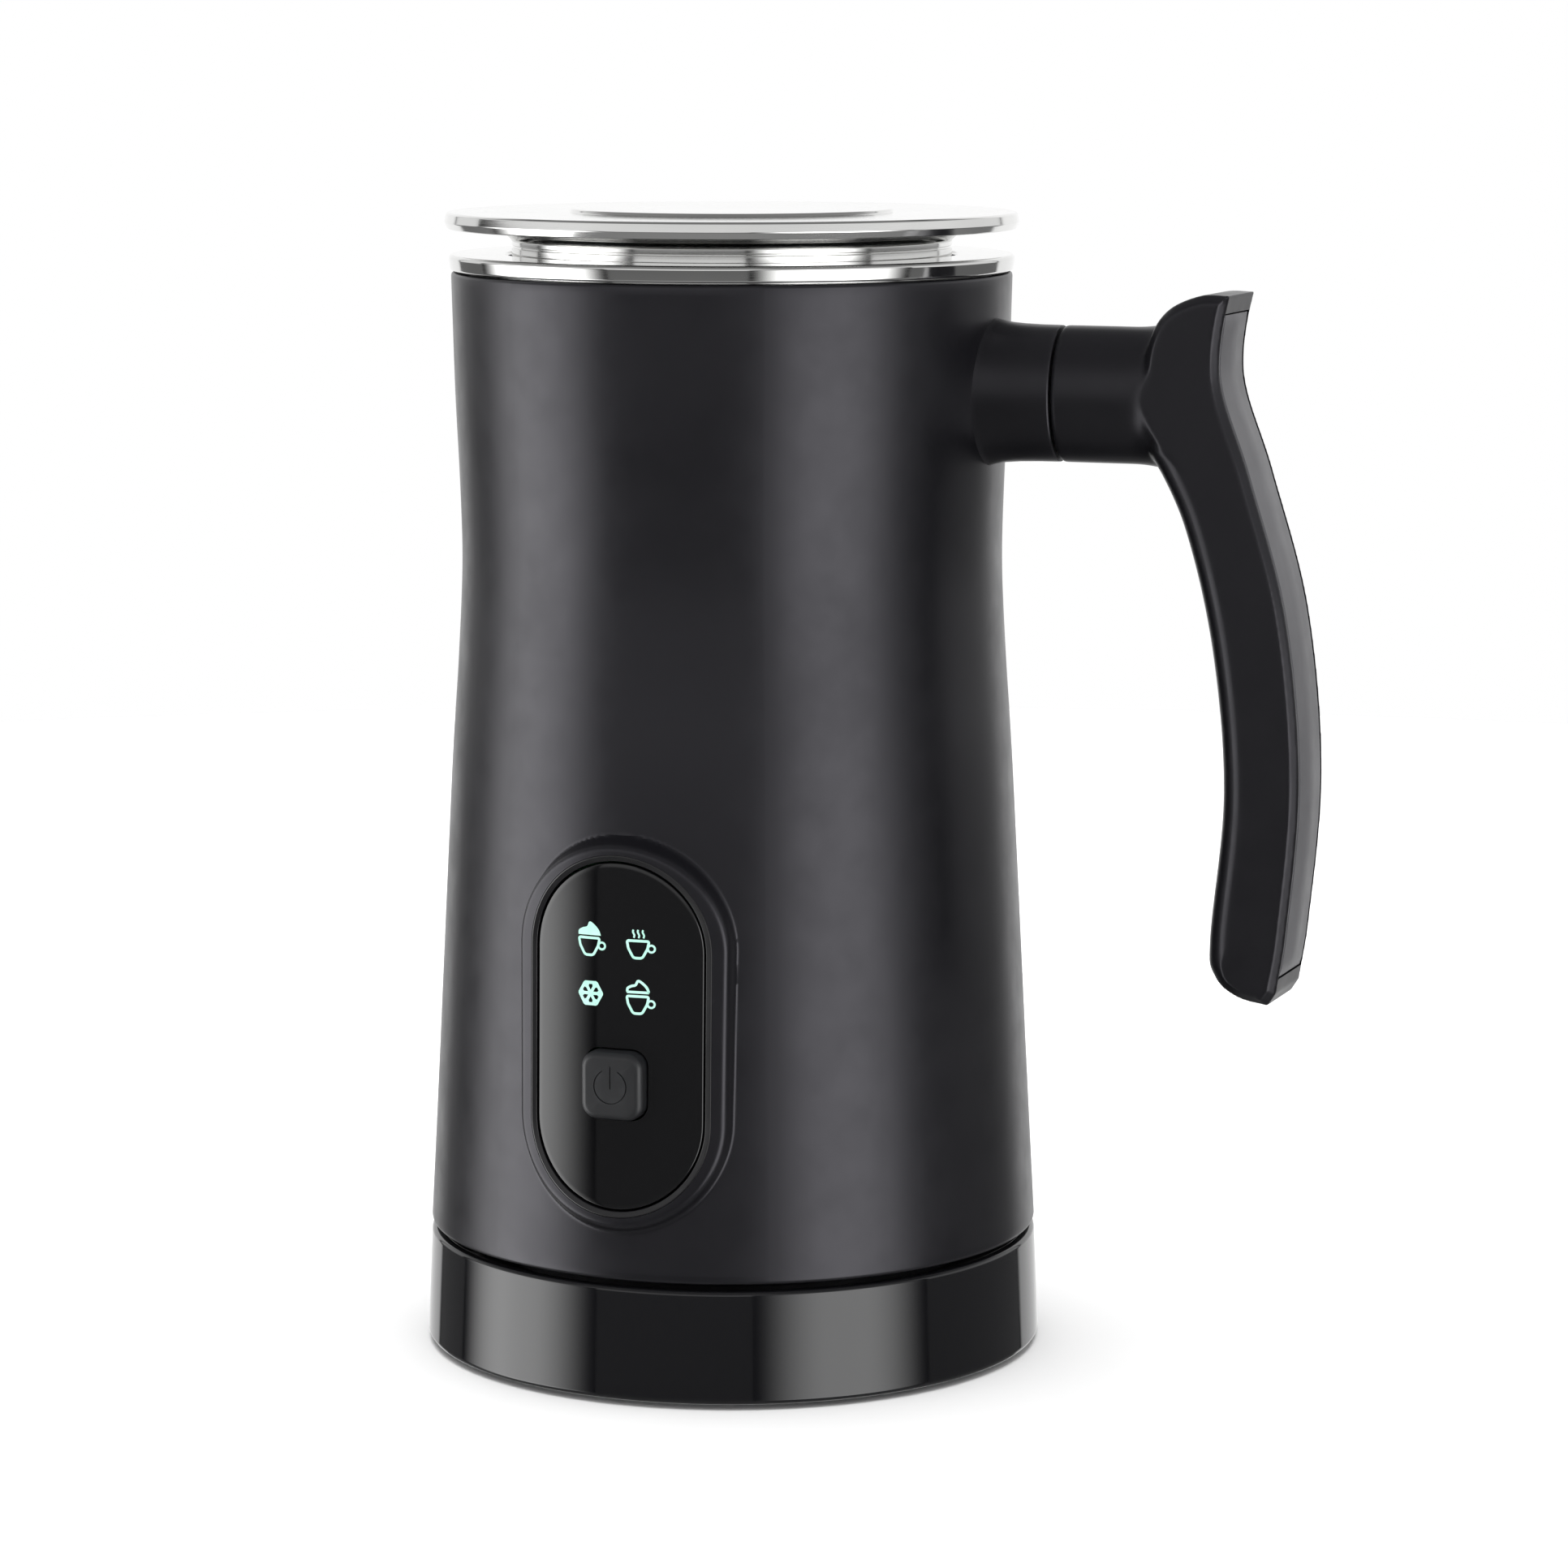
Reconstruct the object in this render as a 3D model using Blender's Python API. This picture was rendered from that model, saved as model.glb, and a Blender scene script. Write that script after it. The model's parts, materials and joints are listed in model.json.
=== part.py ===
"""Electric milk frother: a heated jug that stands on a round power base.

The jug holds a steel cup, a magnetically driven whisk, a motor, a heater and its
boards.  It lifts off the base, and the lid lifts off the jug.  Metres, +Z up.
The origin is on the jug's axis in the plane that the feet stand on.
The handle points along +X and the control panel faces -Y.
"""
import math

import bmesh
import bpy
from mathutils import Matrix, Vector

MM = 0.001
FIT_GAP = 0.3 * MM

# ---- Driving dimensions -------------------------------------------------------
BIG_SEGMENTS = 36
HIDDEN_SEGMENTS = 24
SMALL_SEGMENTS = 16
SCREW_SEGMENTS = 12

# Power base.
BASE_BOTTOM_RADIUS = 52.5 * MM
BASE_TOP_RADIUS = 51.65 * MM
BASE_UNDERSIDE_Z = 0.8 * MM
BASE_TOP_Z = 19.6 * MM
DECK_Z = 18.0 * MM
DECK_THICKNESS = 2.2 * MM
POST_RADIUS = 15.6 * MM
POST_TOP_Z = 26.5 * MM
FOOT_CIRCLE = 42.0 * MM
FOOT_RADIUS = 6.0 * MM
FOOT_POCKET_DEPTH = 1.0 * MM
BASE_SCREW_CIRCLE = 33.0 * MM
BASE_SCREW_HEAD = 2.9 * MM
BASE_SCREW_SHANK = 1.4 * MM
BASE_SCREW_TIP_Z = 11.0 * MM
GLAND_Z = 8.5 * MM
GLAND_FLANGE_RADIUS = 5.6 * MM
GLAND_TUBE_RADIUS = 3.8 * MM
GLAND_BORE_RADIUS = 2.1 * MM

# Jug shell: outer radius at these heights, joined by a smooth curve.
SHELL_BOTTOM_Z = 20.6 * MM
SHELL_TOP_Z = 182.0 * MM
SHELL_WALL = 2.2 * MM
SHELL_STATIONS = [
    (20.6 * MM, 51.7 * MM),
    (48.0 * MM, 50.2 * MM),
    (76.0 * MM, 48.75 * MM),
    (104.0 * MM, 47.25 * MM),
    (134.0 * MM, 45.35 * MM),
    (160.0 * MM, 46.4 * MM),
    (182.0 * MM, 46.95 * MM),
]

# Bottom cover of the jug.
COVER_LOW_Z = 21.0 * MM
COVER_TOP_Z = 23.4 * MM
COVER_RADIUS = 48.8 * MM
COVER_RIB_INNER = 36.0 * MM
COVER_RIB_OUTER = 39.0 * MM
COVER_SCREW_CIRCLE = 45.4 * MM
COVER_SCREW_HEAD = 2.4 * MM
COVER_SCREW_SHANK = 1.3 * MM
COVER_SCREW_TIP_Z = 34.0 * MM

# Cup, rim and lid.
CUP_RADIUS = 37.3 * MM
CUP_WALL = 0.8 * MM
CUP_FLOOR_Z = 76.0 * MM
CUP_TOP_Z = 183.1 * MM
RIM_TOP_Z = 185.0 * MM
RIM_RADIUS = 47.4 * MM
LID_RADIUS = 48.0 * MM
LID_TOP_Z = 192.0 * MM
LID_NECK_RADIUS = 36.8 * MM
LID_NECK_BOTTOM_Z = 175.0 * MM

# Control panel: a capsule on the -Y side.
PANEL_CENTRE_Z = 61.0 * MM
LENS_HALF_WIDTH = 14.5 * MM
LENS_HALF_HEIGHT = 28.4 * MM
BEZEL_WIDTH = 1.0 * MM
POD_TOP_MARGIN = 1.8 * MM
POD_FOOT_MARGIN = 3.8 * MM
FACE_RADIUS_LOW = 52.6 * MM
FACE_RADIUS_HIGH = 51.3 * MM
LENS_THICKNESS = 1.6 * MM
BUTTON_HALF_WIDTH = 5.3 * MM
BUTTON_HALF_HEIGHT = 5.6 * MM
BUTTON_Z = 53.3 * MM
BUTTON_FRONT_Y = -54.1 * MM
BOARD_FRONT_Y = -42.6 * MM

# Handle, in the plane y = 0.
HANDLE_HALF_WIDTH = 8.7 * MM
ARM_Z = 163.0 * MM
ARM_HALF_HEIGHT = 11.2 * MM
ARM_HALF_WIDTH = 8.3 * MM
COLLAR_END_X = 58.3 * MM
STRIP_HALF_WIDTH = 6.4 * MM
STRIP_THICKNESS = 1.5 * MM
STRIP_LOW_Z = 69.5 * MM
STRIP_HIGH_Z = 176.6 * MM
HANDLE_SCREW_SPACING = 11.0 * MM
HANDLE_SCREW_HEAD = 2.6 * MM
HANDLE_SCREW_SHANK = 1.25 * MM
HANDLE_SCREW_HEAD_X = 41.6 * MM
HANDLE_SCREW_TIP_X = 67.0 * MM

# Heater and drive.
HEATER_THICKNESS = 3.0 * MM
HEATER_RADIUS = 31.0 * MM
HEATER_BORE = 15.5 * MM
ELEMENT_CIRCLE = 24.0 * MM
ELEMENT_RADIUS = 3.0 * MM
MOTOR_RADIUS = 12.0 * MM
MOTOR_LOW_Z = 39.0 * MM
MOTOR_TOP_Z = 58.3 * MM
BRACKET_RADIUS = 33.0 * MM
BRACKET_THICKNESS = 1.5 * MM
BRACKET_LEG_CIRCLE = 29.8 * MM
MOTOR_SCREW_OFFSET = 6.5 * MM
SHAFT_RADIUS = 1.15 * MM
PIVOT_RADIUS = 1.5 * MM
WHISK_COIL_RADIUS = 17.0 * MM
WHISK_WIRE_RADIUS = 2.3 * MM


# ---- Materials ------------------------------------------------------------------
def material(name, colour, roughness, metallic=0.0, alpha=1.0):
    """Return the named Principled material, made on first use."""
    found = bpy.data.materials.get(name)
    if found:
        return found
    made = bpy.data.materials.new(name)
    made.use_nodes = True
    shader = made.node_tree.nodes["Principled BSDF"]
    shader.inputs["Base Color"].default_value = (*colour, 1.0)
    shader.inputs["Roughness"].default_value = roughness
    shader.inputs["Metallic"].default_value = metallic
    shader.inputs["Alpha"].default_value = alpha
    made.diffuse_color = (*colour, alpha)
    return made


def matte_black():
    return material("matte_black", (0.022, 0.022, 0.024), 0.42)


def gloss_black():
    return material("gloss_black", (0.008, 0.008, 0.009), 0.06)


def dark_grey():
    return material("dark_grey", (0.075, 0.075, 0.082), 0.5)


def polished_steel():
    return material("polished_steel", (0.72, 0.72, 0.71), 0.12, 1.0)


def zinc_steel():
    return material("zinc_steel", (0.55, 0.55, 0.54), 0.35, 1.0)


def brass():
    return material("brass", (0.72, 0.55, 0.22), 0.3, 1.0)


def aluminium():
    return material("aluminium", (0.68, 0.69, 0.70), 0.4, 1.0)


def rubber():
    return material("rubber", (0.03, 0.03, 0.03), 0.85)


def silicone():
    return material("silicone", (0.62, 0.63, 0.64), 0.6)


def inner_plastic():
    return material("inner_plastic", (0.10, 0.10, 0.11), 0.55)


def white_plastic():
    return material("white_plastic", (0.78, 0.78, 0.75), 0.45)


def board_green():
    return material("board_green", (0.03, 0.19, 0.07), 0.5)


def magnet_grey():
    return material("magnet_grey", (0.30, 0.30, 0.32), 0.35, 1.0)


# ---- Shape helpers ----------------------------------------------------------------
def clear_scene():
    for item in list(bpy.data.objects):
        bpy.data.objects.remove(item, do_unlink=True)


def finish(name, mesh_builder, surface, smooth=True):
    """Turn a bmesh into a named object with outward faces."""
    bmesh.ops.remove_doubles(mesh_builder, verts=mesh_builder.verts, dist=1e-6)
    bmesh.ops.recalc_face_normals(mesh_builder, faces=mesh_builder.faces)
    mesh = bpy.data.meshes.new(name)
    mesh_builder.to_mesh(mesh)
    mesh_builder.free()
    if smooth:
        mesh.shade_smooth()
        mesh.set_sharp_from_angle(angle=math.radians(35))
    made = bpy.data.objects.new(name, mesh)
    bpy.context.scene.collection.objects.link(made)
    if surface is not None:
        made.data.materials.append(surface)
    return made


def turned(name, outline, surface, segments=SMALL_SEGMENTS, centre=(0.0, 0.0)):
    """Spin an (r, z) outline about a vertical axis.

    An outline that starts and ends on the axis is left open there.  Any other
    outline is closed back to its first point.
    """
    shape = bmesh.new()
    points = [shape.verts.new((r, 0.0, z)) for r, z in outline]
    edges = [shape.edges.new(pair) for pair in zip(points, points[1:])]
    if outline[0][0] > 0.0 or outline[-1][0] > 0.0:
        edges.append(shape.edges.new((points[-1], points[0])))
    bmesh.ops.spin(
        shape,
        geom=points + edges,
        axis=(0.0, 0.0, 1.0),
        cent=(0.0, 0.0, 0.0),
        steps=segments,
        angle=2.0 * math.pi,
        use_merge=True,
    )
    made = finish(name, shape, surface)
    made.location = (centre[0], centre[1], 0.0)
    return made


def disc_outline(radius, low, high, bore=0.0):
    """Outline of a plain disc, or of a ring when it has a bore."""
    if bore > 0.0:
        return [(bore, low), (radius, low), (radius, high), (bore, high)]
    return [(0.0, low), (radius, low), (radius, high), (0.0, high)]


def prism(name, outline, low, high, surface, place, smooth=False):
    """Extrude a flat outline between two levels; place maps (a, b, level) to a point."""
    shape = bmesh.new()
    lower = [shape.verts.new(place(a, b, low)) for a, b in outline]
    upper = [shape.verts.new(place(a, b, high)) for a, b in outline]
    shape.faces.new(lower)
    shape.faces.new(list(reversed(upper)))
    count = len(outline)
    for i in range(count):
        j = (i + 1) % count
        shape.faces.new((lower[i], lower[j], upper[j], upper[i]))
    return finish(name, shape, surface, smooth)


def along_y(a, b, level):
    return (a, level, b)


def box(name, low, high, surface):
    """Axis-aligned box between two corners."""
    outline = [(low[0], low[2]), (high[0], low[2]), (high[0], high[2]), (low[0], high[2])]
    return prism(name, outline, low[1], high[1], surface, along_y)


def capsule(half_width, half_height, centre_z, steps=10):
    """Upright stadium outline in (x, z)."""
    rise = half_height - half_width
    points = []
    for start, offset in ((0.0, rise), (math.pi, -rise)):
        for i in range(steps + 1):
            angle = start + math.pi * i / steps
            x = half_width * math.cos(angle)
            z = centre_z + offset + half_width * math.sin(angle)
            points.append((x, z))
    return points


def rounded_rectangle(half_width, half_height, radius, centre_z, steps=4):
    """Rectangle with round corners in (x, z), centred on x = 0."""
    points = []
    corners = ((1, 1, 0.0), (-1, 1, 0.5), (-1, -1, 1.0), (1, -1, 1.5))
    for side_x, side_z, start in corners:
        for i in range(steps + 1):
            angle = math.pi * (start + 0.5 * i / steps)
            x = side_x * (half_width - radius) + radius * math.cos(angle)
            z = side_z * (half_height - radius) + radius * math.sin(angle)
            points.append((x, centre_z + z))
    return points


def smooth_curve(points, steps):
    """Catmull-Rom curve through the points, with equal steps in each span."""
    padded = [points[0]] + list(points) + [points[-1]]
    curve = []
    for i in range(1, len(padded) - 2):
        before, start, end, after = (Vector(p) for p in padded[i - 1:i + 3])
        for step in range(steps):
            t = step / steps
            linear = (end - before) * t
            square = (2 * before - 5 * start + 4 * end - after) * t * t
            cube = (3 * start - before - 3 * end + after) * t ** 3
            curve.append(tuple(0.5 * (2 * start + linear + square + cube)))
    curve.append(tuple(points[-1]))
    return curve


def shifted(curve, distance):
    """Offset an open (x, z) curve towards -X side by a distance along its normal."""
    result = []
    for i, point in enumerate(curve):
        before = Vector(curve[max(i - 1, 0)])
        after = Vector(curve[min(i + 1, len(curve) - 1)])
        run = (after - before).normalized()
        normal = Vector((run.y, -run.x))
        result.append(tuple(Vector(point) + normal * distance))
    return result


def boolean(target, other, operation):
    """Apply an exact Boolean, and any modifier before it, with a throw-away solid."""
    step = target.modifiers.new(operation.lower(), "BOOLEAN")
    step.operation = operation
    step.solver = "EXACT"
    step.object = other
    bpy.context.view_layer.update()
    graph = bpy.context.evaluated_depsgraph_get()
    mesh = bpy.data.meshes.new_from_object(target.evaluated_get(graph))
    target.modifiers.clear()
    old = target.data
    target.data = mesh
    bpy.data.meshes.remove(old)
    mesh.name = target.name
    bpy.data.objects.remove(other, do_unlink=True)
    return target


def cut(target, *tools):
    for tool in tools:
        boolean(target, tool, "DIFFERENCE")
    return target


def join(target, *others):
    for other in others:
        boolean(target, other, "UNION")
    return target


def keep_inside(target, other):
    return boolean(target, other, "INTERSECT")


def cylinder(name, radius, low, high, surface=None, centre=(0.0, 0.0), segments=16):
    """Upright cylinder, used for pins, holes and bosses."""
    return turned(name, disc_outline(radius, low, high), surface, segments, centre)


def counterbore(centre, head_radius, head_top, hole_radius, hole_top):
    """Stepped cutter that sinks a screw head from below."""
    outline = [
        (0.0, -1.0 * MM),
        (head_radius, -1.0 * MM),
        (head_radius, head_top),
        (hole_radius, head_top),
        (hole_radius, hole_top),
        (0.0, hole_top),
    ]
    return turned("counterbore", outline, None, SCREW_SEGMENTS, centre)


def around(count, radius, start_degrees=0.0):
    """Points spaced evenly on a circle about the jug's axis."""
    for i in range(count):
        angle = math.radians(start_degrees) + 2.0 * math.pi * i / count
        yield (radius * math.cos(angle), radius * math.sin(angle))


def screw(name, centre, head_low, head_radius, shank_radius, tip):
    """Pan-head screw driven upwards: head below, tip above."""
    head_height = 0.8 * MM
    outline = [
        (0.0, head_low),
        (head_radius * 0.8, head_low),
        (head_radius, head_low + 0.3 * MM),
        (head_radius, head_low + head_height),
        (shank_radius, head_low + head_height),
        (shank_radius, tip - 1.0 * MM),
        (0.0, tip),
    ]
    return turned(name, outline, zinc_steel(), SCREW_SEGMENTS, centre)


def parent_keeping_place(child, holder):
    """Parent a piece without moving it."""
    child.parent = holder
    child.matrix_parent_inverse = holder.matrix_world.inverted()


def joint_empty(name, location):
    """Empty on a joint's axis, which carries that joint's pieces."""
    empty = bpy.data.objects.new(name, None)
    empty.empty_display_size = 10 * MM
    empty.location = location
    bpy.context.scene.collection.objects.link(empty)
    bpy.context.view_layer.update()
    return empty


# ---- Curves that several pieces share -------------------------------------------------
def shell_radius(z):
    """Outer radius of the jug's shell at a height."""
    curve = smooth_curve([(z_, r) for z_, r in SHELL_STATIONS], 8)
    for (z0, r0), (z1, r1) in zip(curve, curve[1:]):
        if z <= z1:
            return r0 + (r1 - r0) * (z - z0) / (z1 - z0)
    return curve[-1][1]


def shell_heights(count):
    step = (SHELL_TOP_Z - SHELL_BOTTOM_Z) / count
    return [SHELL_BOTTOM_Z + step * i for i in range(count + 1)]


def face_radius(z):
    """Radius of the panel's front face, which leans less than the shell."""
    low = PANEL_CENTRE_Z - LENS_HALF_HEIGHT
    share = (z - low) / (2.0 * LENS_HALF_HEIGHT)
    return FACE_RADIUS_LOW + (FACE_RADIUS_HIGH - FACE_RADIUS_LOW) * share


def panel_skin(name, front_offset, back_offset, surface):
    """Ring that follows the panel's face between two offsets from it."""
    low = PANEL_CENTRE_Z - LENS_HALF_HEIGHT - 8 * MM
    high = PANEL_CENTRE_Z + LENS_HALF_HEIGHT + 8 * MM
    outline = [
        (face_radius(low) + back_offset, low),
        (face_radius(low) + front_offset, low),
        (face_radius(high) + front_offset, high),
        (face_radius(high) + back_offset, high),
    ]
    return turned(name, outline, surface, 96)


def panel_capsule(name, margin, surface=None):
    """Capsule block on the -Y side, wider than the lens by a margin."""
    outline = capsule(LENS_HALF_WIDTH + margin, LENS_HALF_HEIGHT + margin, PANEL_CENTRE_Z)
    return prism(name, outline, -62 * MM, -30 * MM, surface, along_y)


def grip_outer():
    """Outer edge of the grip from its top lip to its tip."""
    return smooth_curve(
        [
            (88.6 * MM, 180.0 * MM),
            (87.3 * MM, 166.6 * MM),
            (92.4 * MM, 150.8 * MM),
            (98.7 * MM, 128.5 * MM),
            (101.4 * MM, 101.9 * MM),
            (99.6 * MM, 77.0 * MM),
            (97.0 * MM, 66.6 * MM),
        ],
        4,
    )


def grip_inner():
    """Inner edge of the grip from its tip up to the arm."""
    return smooth_curve(
        [
            (94.6 * MM, 64.6 * MM),
            (88.0 * MM, 68.2 * MM),
            (85.9 * MM, 74.0 * MM),
            (87.9 * MM, 99.0 * MM),
            (85.7 * MM, 122.5 * MM),
            (80.8 * MM, 142.2 * MM),
            (75.0 * MM, 154.0 * MM),
        ],
        4,
    )


# ---- Power base ---------------------------------------------------------------------------
def build_base():
    inner = BASE_BOTTOM_RADIUS - 2.3 * MM
    deck_low = DECK_Z - DECK_THICKNESS
    hole = POST_RADIUS + 0.4 * MM
    shell = turned(
        "base_shell",
        [
            (inner, BASE_UNDERSIDE_Z),
            (BASE_BOTTOM_RADIUS - 0.7 * MM, BASE_UNDERSIDE_Z),
            (BASE_BOTTOM_RADIUS, BASE_UNDERSIDE_Z + 0.7 * MM),
            (BASE_TOP_RADIUS, BASE_TOP_Z - 0.8 * MM),
            (BASE_TOP_RADIUS - 0.8 * MM, BASE_TOP_Z),
            (BASE_TOP_RADIUS - 1.8 * MM, BASE_TOP_Z),
            (BASE_TOP_RADIUS - 2.4 * MM, DECK_Z),
            (hole, DECK_Z),
            (hole, deck_low),
            (inner - 1.4 * MM, deck_low),
            (inner - 0.2 * MM, deck_low - 1.4 * MM),
        ],
        gloss_black(),
        BIG_SEGMENTS,
    )
    plate_top = BASE_UNDERSIDE_Z + 2.0 * MM
    plate = turned(
        "base_plate",
        disc_outline(inner - FIT_GAP, BASE_UNDERSIDE_Z, plate_top),
        inner_plastic(),
        BIG_SEGMENTS,
    )
    for number, centre in enumerate(around(3, BASE_SCREW_CIRCLE, 30), 1):
        boss = cylinder("boss", 4 * MM, plate_top + FIT_GAP, deck_low + 0.5 * MM, None, centre, 12)
        join(shell, boss)
        cut(shell, cylinder("hole", 1.75 * MM, 0.0, 12 * MM, None, centre, 12))
        head_top = BASE_UNDERSIDE_Z + 1.3 * MM
        cut(plate, counterbore(centre, 3.3 * MM, head_top, 1.75 * MM, 4.0 * MM))
        head_low = BASE_UNDERSIDE_Z + 0.2 * MM
        screw(
            f"base_screw_{number}",
            centre,
            head_low,
            BASE_SCREW_HEAD,
            BASE_SCREW_SHANK,
            BASE_SCREW_TIP_Z,
        )
    for number, centre in enumerate(around(4, FOOT_CIRCLE, 45), 1):
        pocket_top = BASE_UNDERSIDE_Z + FOOT_POCKET_DEPTH
        pocket = cylinder("pocket", FOOT_RADIUS + 0.4 * MM, 0.0, pocket_top, None, centre)
        cut(plate, pocket)
        foot_top = pocket_top - FIT_GAP
        outline = [
            (0.0, 0.0),
            (FOOT_RADIUS - 0.5 * MM, 0.0),
            (FOOT_RADIUS, 0.5 * MM),
            (FOOT_RADIUS, foot_top),
            (0.0, foot_top),
        ]
        turned(f"base_foot_{number}", outline, rubber(), SMALL_SEGMENTS, centre)
    opening = cylinder("opening", GLAND_TUBE_RADIUS + FIT_GAP, 40 * MM, 60 * MM)
    opening.matrix_world = Matrix.Translation((0, 0, GLAND_Z)) @ Matrix.Rotation(
        math.radians(-90), 4, "X"
    )
    cut(shell, opening)
    gland = turned(
        "cord_inlet",
        [
            (GLAND_BORE_RADIUS, 44.0 * MM),
            (GLAND_FLANGE_RADIUS, 44.0 * MM),
            (GLAND_FLANGE_RADIUS, 46.0 * MM),
            (GLAND_TUBE_RADIUS, 46.0 * MM),
            (GLAND_TUBE_RADIUS, 52.0 * MM),
            (GLAND_BORE_RADIUS, 52.0 * MM),
        ],
        rubber(),
        16,
    )
    gland.matrix_world = Matrix.Translation((0, 0, GLAND_Z)) @ Matrix.Rotation(
        math.radians(-90), 4, "X"
    )
    build_socket(deck_low)


def build_socket(deck_low):
    """Round post that the jug's plug drops over, with its two contacts."""
    flange_top = deck_low - FIT_GAP
    top = POST_TOP_Z
    turned(
        "connector_socket",
        [
            (0.0, 15.0 * MM),
            (2.7 * MM, 15.0 * MM),
            (2.7 * MM, top),
            (6.6 * MM, top),
            (6.6 * MM, 16.0 * MM),
            (8.6 * MM, 16.0 * MM),
            (8.6 * MM, top),
            (POST_RADIUS - 1.0 * MM, top),
            (POST_RADIUS, top - 1.0 * MM),
            (POST_RADIUS, flange_top),
            (19.0 * MM, flange_top),
            (19.0 * MM, flange_top - 2.0 * MM),
            (13.0 * MM, flange_top - 2.0 * MM),
            (13.0 * MM, 6.0 * MM),
            (0.0, 6.0 * MM),
        ],
        inner_plastic(),
        SMALL_SEGMENTS,
    )
    turned(
        "socket_ring_contact",
        disc_outline(8.25 * MM, 16.3 * MM, 18.2 * MM, 6.95 * MM),
        brass(),
        SMALL_SEGMENTS,
    )
    turned(
        "socket_centre_contact",
        disc_outline(2.3 * MM, 15.3 * MM, 17.0 * MM),
        brass(),
        SCREW_SEGMENTS,
    )


# ---- Jug's connector ------------------------------------------------------------------------
def build_connector():
    plug = turned(
        "connector_plug",
        [
            (0.0, 31.0 * MM),
            (2.5 * MM, 31.0 * MM),
            (2.5 * MM, 27.6 * MM),
            (6.65 * MM, 27.6 * MM),
            (6.65 * MM, 30.8 * MM),
            (8.55 * MM, 30.8 * MM),
            (8.55 * MM, 27.6 * MM),
            (12.3 * MM, 27.6 * MM),
            (12.3 * MM, 29.9 * MM),
            (15.5 * MM, 29.9 * MM),
            (15.5 * MM, 33.0 * MM),
            (0.0, 33.0 * MM),
        ],
        inner_plastic(),
        SMALL_SEGMENTS,
    )
    pin = turned(
        "plug_centre_pin",
        [(0.0, 17.3 * MM), (2.1 * MM, 18.6 * MM), (2.1 * MM, 30.7 * MM), (0.0, 30.7 * MM)],
        brass(),
        12,
    )
    ring = turned(
        "plug_ring_contact",
        disc_outline(8.2 * MM, 18.5 * MM, 30.5 * MM, 7.0 * MM),
        brass(),
        SMALL_SEGMENTS,
    )
    return [plug, pin, ring]


# ---- Jug shell, cover, rim and cup --------------------------------------------------------
def shell_solid(name, offset, low, high, surface=None, steps=12):
    """Filled solid whose side follows the shell at an offset."""
    heights = [z for z in shell_heights(steps) if low < z < high]
    side = [(shell_radius(z) + offset, z) for z in [low] + heights + [high]]
    return turned(name, [(0.0, low)] + side + [(0.0, high)], surface, BIG_SEGMENTS)


def build_shell():
    shell = shell_solid("outer_shell", 0.0, SHELL_BOTTOM_Z, SHELL_TOP_Z, matte_black())
    join(shell, panel_pod())
    beyond = 1.0 * MM
    cut(
        shell,
        shell_solid(
            "inside", -SHELL_WALL, SHELL_BOTTOM_Z - beyond, SHELL_TOP_Z + beyond, None, 6
        ),
    )
    window_margin = BEZEL_WIDTH + 2.0 * FIT_GAP
    cut(shell, panel_capsule("window", window_margin))
    for centre in cover_screw_places():
        boss = cylinder("boss", 4.4 * MM, 23.8 * MM, 38 * MM, None, centre, 16)
        join(shell, boss)
        cut(shell, cylinder("hole", 1.65 * MM, 20 * MM, 35.5 * MM, None, centre, 12))
    for z in handle_screw_heights():
        cut(shell, handle_hole("hole", 1.9 * MM, 40 * MM, 52 * MM, z))
    return shell


def panel_pod():
    """Raised surround of the panel with sloping flanks."""
    low = capsule(
        LENS_HALF_WIDTH + POD_FOOT_MARGIN, LENS_HALF_HEIGHT + POD_FOOT_MARGIN, PANEL_CENTRE_Z
    )
    high = capsule(
        LENS_HALF_WIDTH + POD_TOP_MARGIN, LENS_HALF_HEIGHT + POD_TOP_MARGIN, PANEL_CENTRE_Z
    )
    shape = bmesh.new()
    rear = [shape.verts.new((x, -40 * MM, z)) for x, z in low]
    middle = [shape.verts.new((x, -46 * MM, z)) for x, z in low]
    front = [shape.verts.new((x, -54 * MM, z)) for x, z in high]
    count = len(rear)
    shape.faces.new(rear)
    shape.faces.new(list(reversed(front)))
    for first, second in ((rear, middle), (middle, front)):
        for i in range(count):
            j = (i + 1) % count
            shape.faces.new((first[i], first[j], second[j], second[i]))
    pod = finish("pod", shape, matte_black())
    return keep_inside(pod, panel_skin("pod_skin", 0.0, -16 * MM, None))


def cover_screw_places():
    return list(around(3, COVER_SCREW_CIRCLE, 90))


def handle_screw_heights():
    return (ARM_Z - HANDLE_SCREW_SPACING / 2, ARM_Z + HANDLE_SCREW_SPACING / 2)


def handle_hole(name, radius, low, high, z):
    """Cylinder along X in the handle's plane."""
    hole = cylinder(name, radius, low, high, None, (0.0, 0.0), 12)
    hole.matrix_world = Matrix.Translation((0, 0, z)) @ Matrix.Rotation(
        math.radians(90), 4, "Y"
    )
    return hole


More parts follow.
